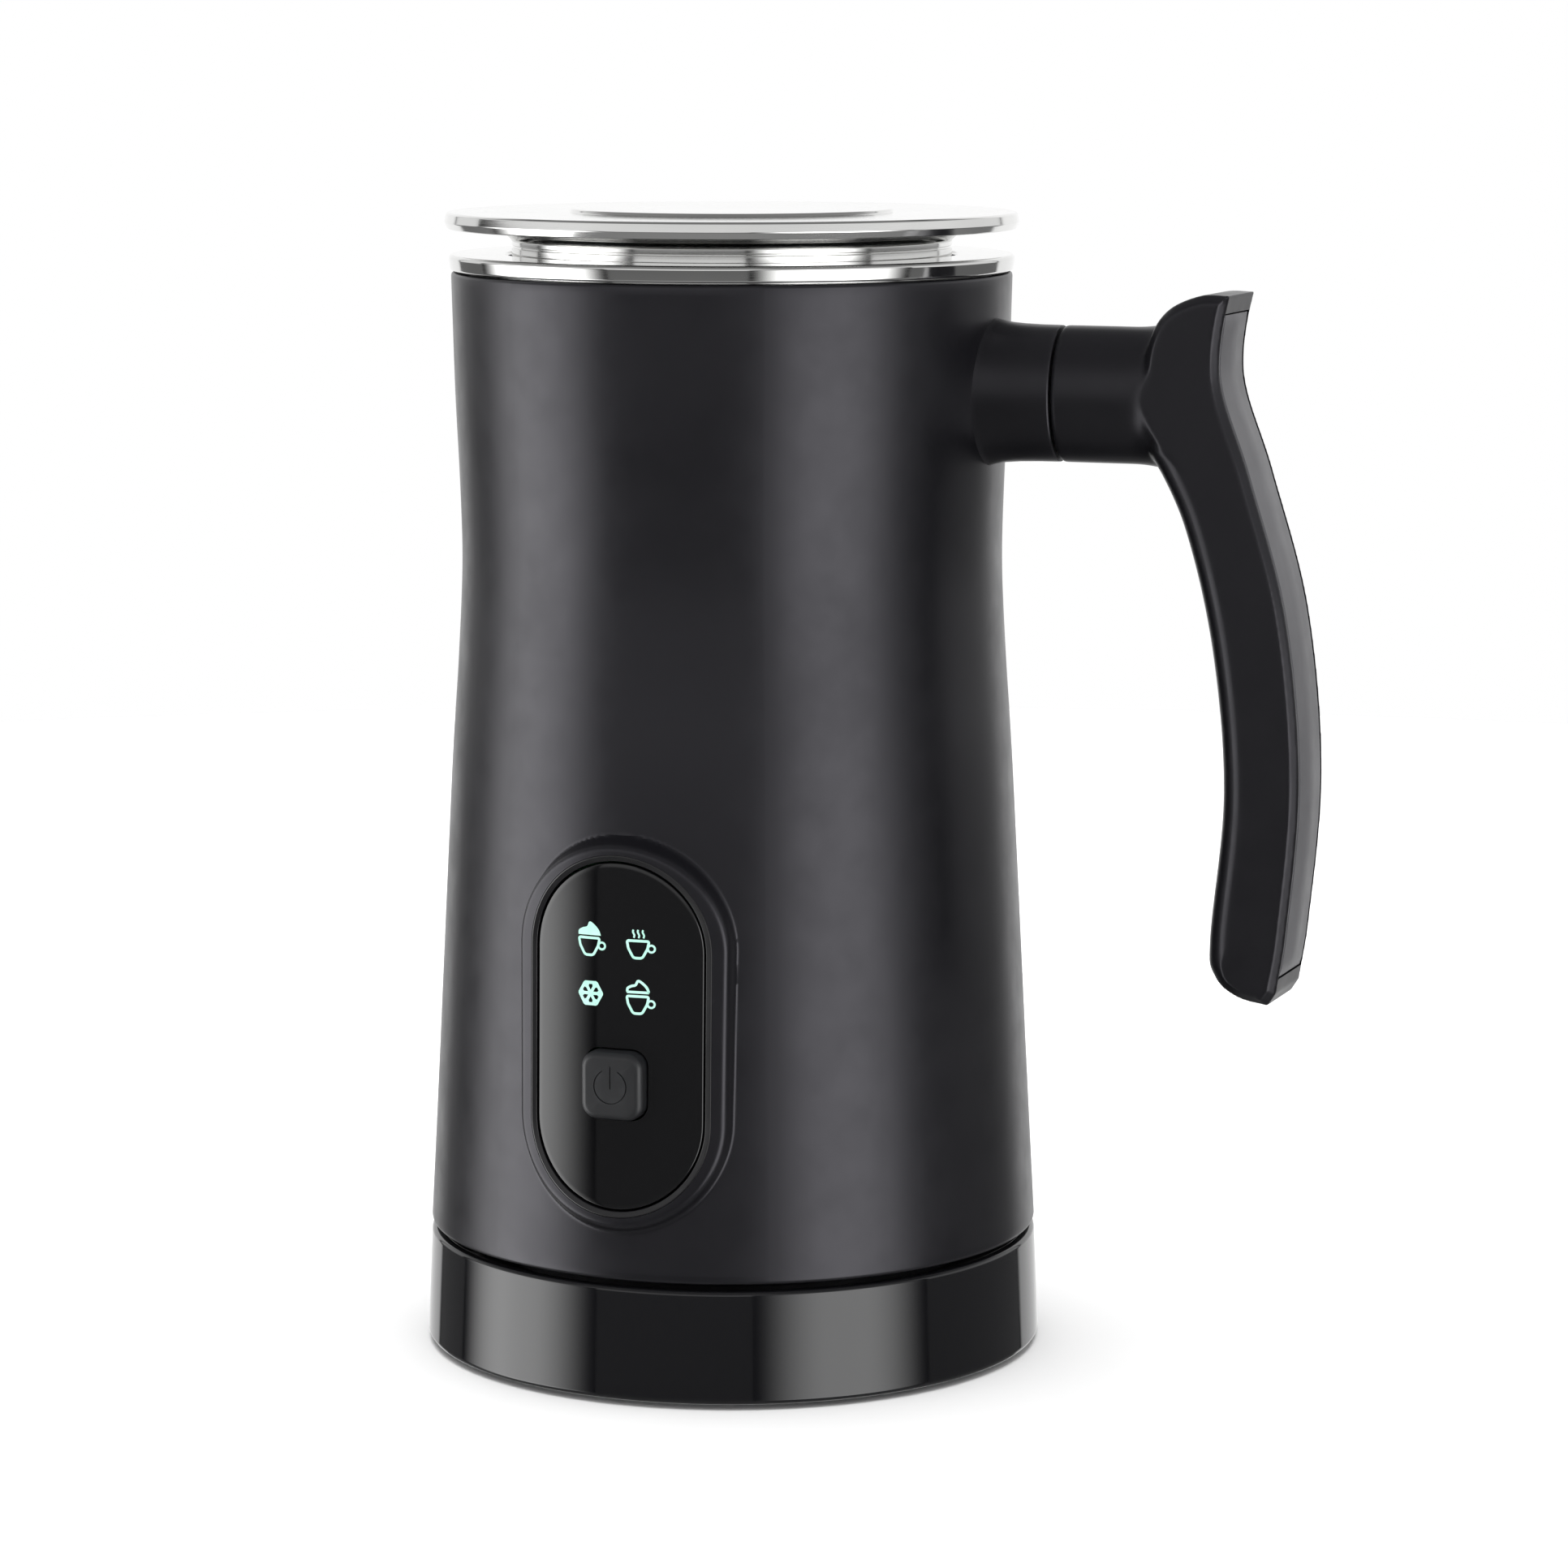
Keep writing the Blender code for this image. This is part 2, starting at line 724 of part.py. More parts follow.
def build_cover():
    cover = turned(
        "bottom_cover",
        [
            (17.0 * MM, COVER_LOW_Z),
            (COVER_RIB_INNER, COVER_LOW_Z),
            (COVER_RIB_INNER, DECK_Z + 0.4 * MM),
            (COVER_RIB_OUTER, DECK_Z + 0.4 * MM),
            (COVER_RIB_OUTER, COVER_LOW_Z),
            (COVER_RADIUS, COVER_LOW_Z),
            (COVER_RADIUS, COVER_TOP_Z),
            (19.2 * MM, COVER_TOP_Z),
            (19.2 * MM, 29.6 * MM),
            (12.7 * MM, 29.6 * MM),
            (12.7 * MM, 27.4 * MM),
            (17.0 * MM, 27.4 * MM),
        ],
        inner_plastic(),
        HIDDEN_SEGMENTS,
    )
    screws = []
    for number, centre in enumerate(cover_screw_places(), 1):
        cut(cover, counterbore(centre, 2.8 * MM, 22.3 * MM, 1.65 * MM, 25.0 * MM))
        screws.append(
            screw(
                f"cover_screw_{number}",
                centre,
                COVER_LOW_Z + 0.1 * MM,
                COVER_SCREW_HEAD,
                COVER_SCREW_SHANK,
                COVER_SCREW_TIP_Z,
            )
        )
    return [cover] + screws


def build_rim():
    return turned(
        "rim_ring",
        [
            (44.4 * MM, 182.3 * MM),
            (47.1 * MM, 182.3 * MM),
            (RIM_RADIUS, 184.3 * MM),
            (46.8 * MM, RIM_TOP_Z),
            (38.1 * MM, RIM_TOP_Z),
            (37.6 * MM, 184.6 * MM),
            (37.6 * MM, 183.5 * MM),
            (42.9 * MM, 183.5 * MM),
            (42.9 * MM, 177.0 * MM),
            (44.4 * MM, 177.0 * MM),
        ],
        polished_steel(),
        BIG_SEGMENTS,
    )


def build_cup():
    outer = CUP_RADIUS + CUP_WALL
    floor_low = CUP_FLOOR_Z - CUP_WALL
    corner = 6.0 * MM
    outline = [(0.0, floor_low)]
    outline += corner_arc(outer - corner, floor_low + corner, corner)
    outline += [
        (outer, CUP_TOP_Z - CUP_WALL),
        (42.5 * MM, CUP_TOP_Z - CUP_WALL),
        (42.5 * MM, CUP_TOP_Z),
        (CUP_RADIUS + 0.5 * MM, CUP_TOP_Z),
        (CUP_RADIUS, CUP_TOP_Z - 0.6 * MM),
    ]
    inner_corner = corner - CUP_WALL
    outline += reversed(corner_arc(outer - corner, floor_low + corner, inner_corner))
    outline.append((0.0, CUP_FLOOR_Z))
    cup = turned("inner_cup", outline, polished_steel(), BIG_SEGMENTS)
    foot = CUP_FLOOR_Z + FIT_GAP
    pin = turned(
        "whisk_pivot_pin",
        [
            (0.0, foot),
            (4.0 * MM, foot),
            (4.0 * MM, foot + 0.8 * MM),
            (PIVOT_RADIUS, foot + 1.2 * MM),
            (PIVOT_RADIUS, 87.2 * MM),
            (0.0, 88.0 * MM),
        ],
        zinc_steel(),
        16,
    )
    return [cup, pin]


def corner_arc(centre_r, centre_z, radius, steps=4):
    """Quarter arc from straight down to straight out."""
    angles = [-0.5 * math.pi * (1 - i / steps) for i in range(steps + 1)]
    return [(centre_r + radius * math.cos(a), centre_z + radius * math.sin(a)) for a in angles]


# ---- Lid --------------------------------------------------------------------------------------
def build_lid():
    neck = LID_NECK_RADIUS
    groove = neck - 1.2 * MM
    cap = turned(
        "lid_cap",
        [
            (0.0, LID_TOP_Z + 0.5 * MM),
            (26.6 * MM, LID_TOP_Z + 0.5 * MM),
            (27.2 * MM, LID_TOP_Z),
            (LID_RADIUS - 1.0 * MM, LID_TOP_Z),
            (LID_RADIUS, LID_TOP_Z - 0.5 * MM),
            (LID_RADIUS - 0.5 * MM, LID_TOP_Z - 2.5 * MM),
            (43.5 * MM, 189.1 * MM),
            (37.9 * MM, 188.2 * MM),
            (neck, 187.2 * MM),
            (neck, 182.0 * MM),
            (groove, 182.0 * MM),
            (groove, 178.0 * MM),
            (neck, 178.0 * MM),
            (neck, LID_NECK_BOTTOM_Z + 0.6 * MM),
            (neck - 0.6 * MM, LID_NECK_BOTTOM_Z),
            (neck - 2.4 * MM, LID_NECK_BOTTOM_Z),
            (neck - 2.8 * MM, 186.0 * MM),
            (neck - 4.6 * MM, 188.8 * MM),
            (0.0, 189.6 * MM),
        ],
        polished_steel(),
        BIG_SEGMENTS,
    )
    seal = turned(
        "lid_seal",
        [
            (groove + FIT_GAP, 178.4 * MM),
            (neck, 178.4 * MM),
            (neck + 0.2 * MM, 180.0 * MM),
            (neck, 181.6 * MM),
            (groove + FIT_GAP, 181.6 * MM),
        ],
        silicone(),
        BIG_SEGMENTS,
    )
    return [cap, seal]


# ---- Heater, motor and magnetic drive --------------------------------------------------------
def build_heater():
    low = CUP_FLOOR_Z - CUP_WALL - FIT_GAP - HEATER_THICKNESS
    plate = turned(
        "heater_plate",
        disc_outline(HEATER_RADIUS, low, low + HEATER_THICKNESS, HEATER_BORE),
        aluminium(),
        HIDDEN_SEGMENTS,
    )
    below = low - FIT_GAP
    element = ring_tube(
        "heating_element", ELEMENT_CIRCLE, ELEMENT_RADIUS, below - ELEMENT_RADIUS, 40, 320
    )
    places = {}
    for name, degrees in (("thermostat", 0), ("thermal_fuse", 20), ("temperature_sensor", -20)):
        angle = math.radians(degrees)
        places[name] = (ELEMENT_CIRCLE * math.cos(angle), ELEMENT_CIRCLE * math.sin(angle))
    thermostat = turned(
        "thermostat",
        [
            (0.0, below - 7.0 * MM),
            (3.6 * MM, below - 7.0 * MM),
            (3.6 * MM, below - 3.0 * MM),
            (5.4 * MM, below - 3.0 * MM),
            (5.4 * MM, below),
            (0.0, below),
        ],
        inner_plastic(),
        16,
        places["thermostat"],
    )
    fuse = turned(
        "thermal_fuse",
        disc_outline(1.7 * MM, below - 8.0 * MM, below),
        white_plastic(),
        12,
        places["thermal_fuse"],
    )
    sensor = turned(
        "temperature_sensor",
        disc_outline(1.5 * MM, below - 5.0 * MM, below),
        zinc_steel(),
        12,
        places["temperature_sensor"],
    )
    return [plate, element, thermostat, fuse, sensor]


def ring_tube(name, ring_radius, tube_radius, z, start_degrees, end_degrees):
    """Open ring of round tube with closed ends."""
    steps = 24
    curve = bpy.data.curves.new(name, "CURVE")
    curve.dimensions = "3D"
    curve.bevel_depth = tube_radius
    curve.bevel_resolution = 2
    curve.use_fill_caps = True
    path = curve.splines.new("POLY")
    path.points.add(steps)
    for i in range(steps + 1):
        angle = math.radians(start_degrees + (end_degrees - start_degrees) * i / steps)
        spot = (ring_radius * math.cos(angle), ring_radius * math.sin(angle), z)
        path.points[i].co = (*spot, 1.0)
    made = bpy.data.objects.new(name, curve)
    curve.materials.append(zinc_steel())
    bpy.context.scene.collection.objects.link(made)
    return made


def motor_screw_places():
    return [(0.0, MOTOR_SCREW_OFFSET), (0.0, -MOTOR_SCREW_OFFSET)]


def build_motor():
    plate_low = MOTOR_TOP_Z + FIT_GAP
    plate_top = plate_low + BRACKET_THICKNESS
    can = turned(
        "motor_can",
        [
            (0.0, MOTOR_LOW_Z),
            (MOTOR_RADIUS, MOTOR_LOW_Z),
            (MOTOR_RADIUS, MOTOR_TOP_Z - 0.8 * MM),
            (MOTOR_RADIUS - 0.8 * MM, MOTOR_TOP_Z),
            (1.5 * MM, MOTOR_TOP_Z),
            (1.5 * MM, 46.0 * MM),
            (0.0, 46.0 * MM),
        ],
        zinc_steel(),
        SMALL_SEGMENTS,
    )
    end_cap = turned(
        "motor_end_cap",
        [
            (0.0, 34.5 * MM),
            (4.0 * MM, 34.5 * MM),
            (4.0 * MM, 36.5 * MM),
            (11.0 * MM, 36.5 * MM),
            (11.6 * MM, 38.7 * MM),
            (0.0, 38.7 * MM),
        ],
        inner_plastic(),
        SMALL_SEGMENTS,
    )
    bracket = turned(
        "motor_bracket",
        disc_outline(BRACKET_RADIUS, plate_low, plate_top, 3.0 * MM),
        zinc_steel(),
        HIDDEN_SEGMENTS,
    )
    leg_top = CUP_FLOOR_Z - CUP_WALL - 2.0 * FIT_GAP - HEATER_THICKNESS
    for centre in around(3, BRACKET_LEG_CIRCLE, 90):
        leg = cylinder("leg", 1.6 * MM, plate_low + 0.5 * MM, leg_top, None, centre, 10)
        join(bracket, leg)
    screws = []
    for number, centre in enumerate(motor_screw_places(), 1):
        cut(bracket, cylinder("hole", 1.5 * MM, 50 * MM, 62 * MM, None, centre, 12))
        cut(can, cylinder("hole", 1.5 * MM, 53 * MM, 62 * MM, None, centre, 12))
        made = screw(f"motor_screw_{number}", (0.0, 0.0), 0.0, 2.2 * MM, 1.1 * MM, 6.5 * MM)
        made.matrix_world = Matrix.Translation(
            (centre[0], centre[1], plate_top + FIT_GAP + 0.8 * MM)
        ) @ Matrix.Rotation(math.pi, 4, "X")
        screws.append(made)
    return [can, end_cap, bracket] + screws


def build_rotor():
    shaft = turned(
        "motor_shaft", disc_outline(SHAFT_RADIUS, 46.4 * MM, 70.6 * MM), zinc_steel(), 12
    )
    carrier = turned(
        "magnet_carrier",
        disc_outline(13.5 * MM, 67.0 * MM, 70.9 * MM, SHAFT_RADIUS + FIT_GAP),
        inner_plastic(),
        SMALL_SEGMENTS,
    )
    magnet = turned(
        "drive_magnet",
        disc_outline(12.5 * MM, 71.2 * MM, 74.4 * MM, 6.0 * MM),
        magnet_grey(),
        SMALL_SEGMENTS,
    )
    return [shaft, carrier, magnet]


# ---- Whisk --------------------------------------------------------------------------------------
def build_whisk():
    hub_low = 78.4 * MM
    hub_top = 83.4 * MM
    hub = turned(
        "whisk_hub",
        [
            (3.2 * MM, hub_low),
            (14.0 * MM, hub_low),
            (14.4 * MM, 79.6 * MM),
            (14.0 * MM, 81.2 * MM),
            (14.4 * MM, hub_top),
            (8.6 * MM, hub_top),
            (8.6 * MM, 80.0 * MM),
            (4.4 * MM, 80.0 * MM),
            (4.4 * MM, hub_top),
            (3.2 * MM, hub_top),
        ],
        matte_black(),
        SMALL_SEGMENTS,
    )
    for centre in around(6, 11.4 * MM):
        cut(hub, cylinder("window", 1.9 * MM, 77 * MM, 85 * MM, None, centre, 10))
    magnet = turned(
        "whisk_magnet",
        disc_outline(8.2 * MM, 80.3 * MM, 83.2 * MM, 4.8 * MM),
        magnet_grey(),
        SMALL_SEGMENTS,
    )
    cap = turned(
        "whisk_cap",
        [
            (0.0, 88.9 * MM),
            (3.2 * MM, 88.6 * MM),
            (3.2 * MM, 83.8 * MM),
            (9.2 * MM, 83.8 * MM),
            (9.2 * MM, 85.0 * MM),
            (5.6 * MM, 86.4 * MM),
            (4.6 * MM, 92.4 * MM),
            (3.4 * MM, 93.6 * MM),
            (0.0, 94.0 * MM),
        ],
        matte_black(),
        SMALL_SEGMENTS,
    )
    bush = turned(
        "whisk_bush",
        disc_outline(2.85 * MM, 78.6 * MM, 86.6 * MM, PIVOT_RADIUS + FIT_GAP),
        white_plastic(),
        16,
    )
    coil_z = 81.0 * MM
    coil_outline = []
    for i in range(8):
        angle = 2.0 * math.pi * i / 8
        r = WHISK_COIL_RADIUS + WHISK_WIRE_RADIUS * math.cos(angle)
        coil_outline.append((r, coil_z + WHISK_WIRE_RADIUS * math.sin(angle)))
    coil = turned("whisk_coil", coil_outline, polished_steel(), HIDDEN_SEGMENTS)
    return [hub, magnet, cap, coil], bush


# ---- Boards and control panel --------------------------------------------------------------
def build_boards():
    board_low = 39.6 * MM
    board = turned(
        "power_board",
        disc_outline(39.5 * MM, board_low, board_low + 1.6 * MM, 14.0 * MM),
        board_green(),
        HIDDEN_SEGMENTS,
    )
    above = board_low + 1.6 * MM + FIT_GAP
    relay = box(
        "relay", (16 * MM, 6 * MM, above), (27 * MM, 22 * MM, above + 12 * MM), gloss_black()
    )
    capacitor = cylinder(
        "capacitor", 4.5 * MM, above, above + 12 * MM, inner_plastic(), (-26 * MM, 8 * MM)
    )
    control = box(
        "control_board",
        (-13 * MM, BOARD_FRONT_Y, 43 * MM),
        (13 * MM, BOARD_FRONT_Y + 1.6 * MM, 92 * MM),
        board_green(),
    )
    return [board, relay, capacitor, control]


def build_switch():
    """Tact switch behind the power button: a square body with a round plunger."""
    front = BOARD_FRONT_Y - FIT_GAP
    body = box(
        "tact_switch",
        (-3 * MM, front - 2.0 * MM, BUTTON_Z - 3 * MM),
        (3 * MM, front, BUTTON_Z + 3 * MM),
        inner_plastic(),
    )
    plunger = cylinder("plunger", 1.6 * MM, -2.8 * MM, -0.5 * MM, None, (0.0, 0.0), 12)
    plunger.matrix_world = Matrix.Translation((0, front, BUTTON_Z)) @ Matrix.Rotation(
        math.radians(-90), 4, "X"
    )
    return join(body, plunger)


def build_light_guide():
    """Block with four light channels, one behind each symbol."""
    low, high = 63 * MM, 82 * MM
    guide = box(
        "light_guide",
        (-9 * MM, -48.8 * MM, low),
        (9 * MM, BOARD_FRONT_Y - FIT_GAP, high),
        white_plastic(),
    )
    for x in (-4.5 * MM, 4.5 * MM):
        for z in (67.9 * MM, 77.0 * MM):
            channel = box(
                "channel",
                (x - 2.9 * MM, -52 * MM, z - 2.9 * MM),
                (x + 2.9 * MM, -40 * MM, z + 2.9 * MM),
                None,
            )
            cut(guide, channel)
    return guide


def build_panel():
    lens = panel_capsule("panel_lens", 0.0, gloss_black())
    keep_inside(lens, panel_skin("lens_skin", -0.1 * MM, -0.1 * MM - LENS_THICKNESS, None))
    hole = prism(
        "hole",
        rounded_rectangle(
            BUTTON_HALF_WIDTH + FIT_GAP, BUTTON_HALF_HEIGHT + FIT_GAP, 2.9 * MM, BUTTON_Z
        ),
        -60 * MM,
        -40 * MM,
        None,
        along_y,
    )
    cut(lens, hole)
    bezel = panel_capsule("panel_bezel", FIT_GAP + BEZEL_WIDTH, matte_black())
    keep_inside(bezel, panel_skin("bezel_skin", 0.0, -2.4 * MM, None))
    cut(bezel, panel_capsule("lens_space", FIT_GAP))
    return [lens, bezel, build_switch(), build_light_guide()]


def build_button():
    """Power button, a rounded square with a stem towards the switch."""
    shape = rounded_rectangle(BUTTON_HALF_WIDTH, BUTTON_HALF_HEIGHT, 2.6 * MM, 0.0)
    front = BUTTON_FRONT_Y
    button = prism("power_button", shape, front, front + 5.4 * MM, dark_grey(), along_y)
    edges = button.modifiers.new("soft_edges", "BEVEL")
    edges.width = 0.5 * MM
    edges.segments = 2
    edges.limit_method = "ANGLE"
    edges.angle_limit = math.radians(50)
    stem = cylinder("stem", 2.1 * MM, 4.6 * MM, 7.5 * MM, None, (0.0, 0.0), 12)
    stem.matrix_world = Matrix.Translation((0, front, 0)) @ Matrix.Rotation(
        math.radians(-90), 4, "X"
    )
    join(button, stem)
    button.location = (0.0, 0.0, BUTTON_Z)
    return button


# ---- Handle ------------------------------------------------------------------------------
def ellipse_arm(name, stations, surface):
    """Loft ellipses (x, half width, half height) along +X at the arm's height."""
    shape = bmesh.new()
    count = 24
    rings = []
    for x, half_width, half_height in stations:
        ring = []
        for i in range(count):
            angle = 2.0 * math.pi * i / count
            y = half_width * math.cos(angle)
            z = ARM_Z + half_height * math.sin(angle)
            ring.append(shape.verts.new((x, y, z)))
        rings.append(ring)
    shape.faces.new(rings[0])
    shape.faces.new(list(reversed(rings[-1])))
    for first, second in zip(rings, rings[1:]):
        for i in range(count):
            j = (i + 1) % count
            shape.faces.new((first[i], first[j], second[j], second[i]))
    return finish(name, shape, surface)


def build_collar():
    collar = ellipse_arm(
        "handle_collar",
        [
            (38 * MM, 9.4 * MM, 12.4 * MM),
            (47 * MM, 8.9 * MM, 11.9 * MM),
            (51 * MM, 8.4 * MM, 11.4 * MM),
            (COLLAR_END_X, ARM_HALF_WIDTH, ARM_HALF_HEIGHT),
        ],
        matte_black(),
    )
    cut(collar, shell_solid("body_side", FIT_GAP, 145 * MM, SHELL_TOP_Z))
    for z in handle_screw_heights():
        cut(collar, handle_hole("hole", 1.9 * MM, 30 * MM, 70 * MM, z))
    return collar


def build_handle():
    outline = grip_outer() + grip_inner()
    outline += [(75.0 * MM, 172.0 * MM), (78.0 * MM, 177.2 * MM), (83.6 * MM, 179.8 * MM)]
    half = HANDLE_HALF_WIDTH
    grip = prism("handle_body", outline, -half, half, matte_black(), along_y)
    edges = grip.modifiers.new("soft_edges", "BEVEL")
    edges.width = 1.4 * MM
    edges.segments = 2
    edges.limit_method = "ANGLE"
    edges.angle_limit = math.radians(60)
    arm = ellipse_arm(
        "arm",
        [
            (COLLAR_END_X + FIT_GAP, ARM_HALF_WIDTH, ARM_HALF_HEIGHT),
            (80 * MM, ARM_HALF_WIDTH, ARM_HALF_HEIGHT),
        ],
        matte_black(),
    )
    join(grip, arm)
    groove = strip_band(STRIP_THICKNESS + FIT_GAP, -3 * MM, -FIT_GAP)
    wide = STRIP_HALF_WIDTH + FIT_GAP
    cut(grip, prism("groove", groove, -wide, wide, None, along_y))
    for z in handle_screw_heights():
        cut(grip, handle_hole("hole", 1.6 * MM, 50 * MM, 69 * MM, z))
    band = strip_band(STRIP_THICKNESS, 0.0, 0.0)
    strip = prism(
        "handle_strip", band, -STRIP_HALF_WIDTH, STRIP_HALF_WIDTH, dark_grey(), along_y
    )
    screws = [
        handle_screw(f"handle_screw_{number}", z)
        for number, z in enumerate(handle_screw_heights(), 1)
    ]
    return [grip, strip] + screws


def strip_band(depth, front, end_margin):
    """Outline of the inlay on the grip's outer side, between two depths."""
    low_z = STRIP_LOW_Z + end_margin
    high_z = STRIP_HIGH_Z - end_margin
    curve = [p for p in grip_outer() if low_z < p[1] < high_z]
    curve = [edge_point(high_z)] + curve + [edge_point(low_z)]
    return shifted(curve, front) + list(reversed(shifted(curve, depth)))


def edge_point(z):
    """Point of the grip's outer edge at a height."""
    curve = grip_outer()
    for (x0, z0), (x1, z1) in zip(curve, curve[1:]):
        if z1 <= z <= z0:
            return (x0 + (x1 - x0) * (z - z0) / (z1 - z0), z)
    return curve[-1]


def handle_screw(name, z):
    """Screw that runs from inside the shell through the collar into the handle."""
    made = screw(
        name,
        (0.0, 0.0),
        HANDLE_SCREW_HEAD_X,
        HANDLE_SCREW_HEAD,
        HANDLE_SCREW_SHANK,
        HANDLE_SCREW_TIP_X,
    )
    made.matrix_world = Matrix.Translation((0, 0, z)) @ Matrix.Rotation(
        math.radians(90), 4, "Y"
    )
    return made


# ---- Assembly ----------------------------------------------------------------------------
def main():
    clear_scene()
    build_base()
    connector = joint_empty("jug_lift_axis", (0.0, 0.0, 0.0))
    for piece in build_connector():
        parent_keeping_place(piece, connector)

    jug = joint_empty("jug_swivel_axis", (0.0, 0.0, 0.0))
    parent_keeping_place(jug, connector)
    fixed = [build_shell(), build_rim(), build_collar()]
    fixed += build_cover() + build_cup() + build_heater() + build_motor()
    fixed += build_boards() + build_panel() + build_handle()
    for piece in fixed:
        parent_keeping_place(piece, jug)

    rotor = joint_empty("motor_axis", (0.0, 0.0, 58.0 * MM))
    parent_keeping_place(rotor, jug)
    for piece in build_rotor():
        parent_keeping_place(piece, rotor)

    whisk_lift = joint_empty("whisk_lift_axis", (0.0, 0.0, CUP_FLOOR_Z))
    parent_keeping_place(whisk_lift, jug)
    whisk_spin = joint_empty("whisk_spin_axis", (0.0, 0.0, CUP_FLOOR_Z))
    parent_keeping_place(whisk_spin, whisk_lift)
    turning, bush = build_whisk()
    parent_keeping_place(bush, whisk_lift)
    for piece in turning:
        parent_keeping_place(piece, whisk_spin)

    lid = joint_empty("lid_lift_axis", (0.0, 0.0, RIM_TOP_Z))
    parent_keeping_place(lid, jug)
    for piece in build_lid():
        parent_keeping_place(piece, lid)

    parent_keeping_place(build_button(), jug)


main()
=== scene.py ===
"""Looks of the milk frother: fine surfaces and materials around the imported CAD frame.

All shapes are written in millimetres in the row frame: origin on the jug's axis at
table height, +X towards the handle, -Y towards the control panel, +Z up.
"""

import json
import math

import bmesh
import bpy
import numpy as np
from mathutils import Matrix, Vector


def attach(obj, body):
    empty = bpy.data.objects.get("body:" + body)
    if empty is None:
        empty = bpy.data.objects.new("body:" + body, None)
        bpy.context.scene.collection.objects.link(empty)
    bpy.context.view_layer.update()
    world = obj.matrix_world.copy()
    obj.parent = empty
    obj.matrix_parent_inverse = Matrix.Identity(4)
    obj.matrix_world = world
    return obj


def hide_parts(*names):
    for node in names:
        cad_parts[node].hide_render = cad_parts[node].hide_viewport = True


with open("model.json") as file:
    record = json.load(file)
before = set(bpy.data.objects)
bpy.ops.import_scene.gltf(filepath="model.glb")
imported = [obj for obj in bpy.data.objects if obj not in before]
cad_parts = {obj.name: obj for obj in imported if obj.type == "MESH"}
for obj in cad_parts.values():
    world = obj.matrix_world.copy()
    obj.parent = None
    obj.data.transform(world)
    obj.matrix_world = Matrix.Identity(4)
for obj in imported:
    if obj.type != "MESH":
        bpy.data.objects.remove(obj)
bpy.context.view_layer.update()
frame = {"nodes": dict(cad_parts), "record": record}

MM = 0.001

# ---- Dimensions repeated from the CAD model, in millimetres ----
BASE_UNDERSIDE_Z = 0.8
DECK_Z = 18.0
BASE_TOP_Z = 19.6
CORD_Z = 8.5
POST_TOP_Z = 26.5
SHELL_BOTTOM_Z = 20.6
SHELL_TOP_Z = 182.0
SHELL_WALL = 2.2
SHELL_STATIONS = [
    (20.6, 51.7), (48.0, 50.2), (76.0, 48.75), (104.0, 47.25), (116.0, 46.3), (134.0, 45.35),
    (150.0, 45.85), (160.0, 46.4), (182.0, 46.95),
]
PANEL_Z = 61.0
LENS_HALF_WIDTH = 14.5
LENS_HALF_HEIGHT = 28.4
FACE_RADIUS_LOW = 52.6
FACE_RADIUS_HIGH = 51.3
BEZEL_INNER = 0.3
BEZEL_OUTER = 1.3
WINDOW_MARGIN = 1.35
BUTTON_Z = 53.3
BUTTON_FRONT_Y = -54.1
BUTTON_HALF = (5.3, 5.6)
ARM_Z = 163.0
ARM_HALF_WIDTH = 8.3
ARM_HALF_HEIGHT = 11.2
SEAM_X = 58.3
HANDLE_HALF_WIDTH = 8.7
STRIP_HALF_WIDTH = 6.6
STRIP_PROUD = 0.35
STRIP_THICKNESS = 1.5
FIT = 0.3

# ---- View: where the camera stands, as seen from the object ----
CAMERA_AZIMUTH = 21.6
CAMERA_DISTANCE = 0.850
CAMERA_HEIGHT = 0.2235
CAMERA_PITCH = 8.59
CAMERA_YAW = 0.587
CAMERA_LENS = 116.1


# ---- Curves ----
def smooth_profile(stations, blur, low, high, count):
    """Heights and radii of a soft curve through (z, radius) stations."""
    z_known = [z for z, _ in stations]
    r_known = [r for _, r in stations]
    fine = np.linspace(low - 3 * blur, high + 3 * blur, 1601)
    step = fine[1] - fine[0]
    radius = np.interp(fine, z_known, r_known)
    below = fine < z_known[0]
    slope_low = (r_known[1] - r_known[0]) / (z_known[1] - z_known[0])
    radius[below] = r_known[0] + slope_low * (fine[below] - z_known[0])
    above = fine > z_known[-1]
    slope_high = (r_known[-1] - r_known[-2]) / (z_known[-1] - z_known[-2])
    radius[above] = r_known[-1] + slope_high * (fine[above] - z_known[-1])
    reach = int(3 * blur / step)
    kernel = np.exp(-0.5 * (np.arange(-reach, reach + 1) * step / blur) ** 2)
    padded = np.pad(radius, reach, mode="reflect", reflect_type="odd")
    soft = np.convolve(padded, kernel / kernel.sum(), mode="valid")
    heights = np.linspace(low, high, count)
    return heights, np.interp(heights, fine, soft)


SHELL_Z, SHELL_R = smooth_profile(SHELL_STATIONS, 4.5, SHELL_BOTTOM_Z, SHELL_TOP_Z, 400)


def shell_radius(z):
    return float(np.interp(z, SHELL_Z, SHELL_R))


def face_radius(z):
    """Radius of the panel's face at a height."""
    share = (z - (PANEL_Z - LENS_HALF_HEIGHT)) / (2 * LENS_HALF_HEIGHT)
    return FACE_RADIUS_LOW + (FACE_RADIUS_HIGH - FACE_RADIUS_LOW) * share


def catmull(points, steps):
    """Smooth open curve through 2-D points."""
    padded = [points[0], *points, points[-1]]
    curve = []
    for i in range(1, len(padded) - 2):
        before, start, end, after = (np.array(p, float) for p in padded[i - 1:i + 3])
        for step in range(steps):
            t = step / steps
            bend = 2 * before - 5 * start + 4 * end - after
            sweep = 3 * start - before - 3 * end + after
            curve.append(0.5 * (2 * start + (end - before) * t + bend * t * t + sweep * t ** 3))
    curve.append(np.array(points[-1], float))
    return curve


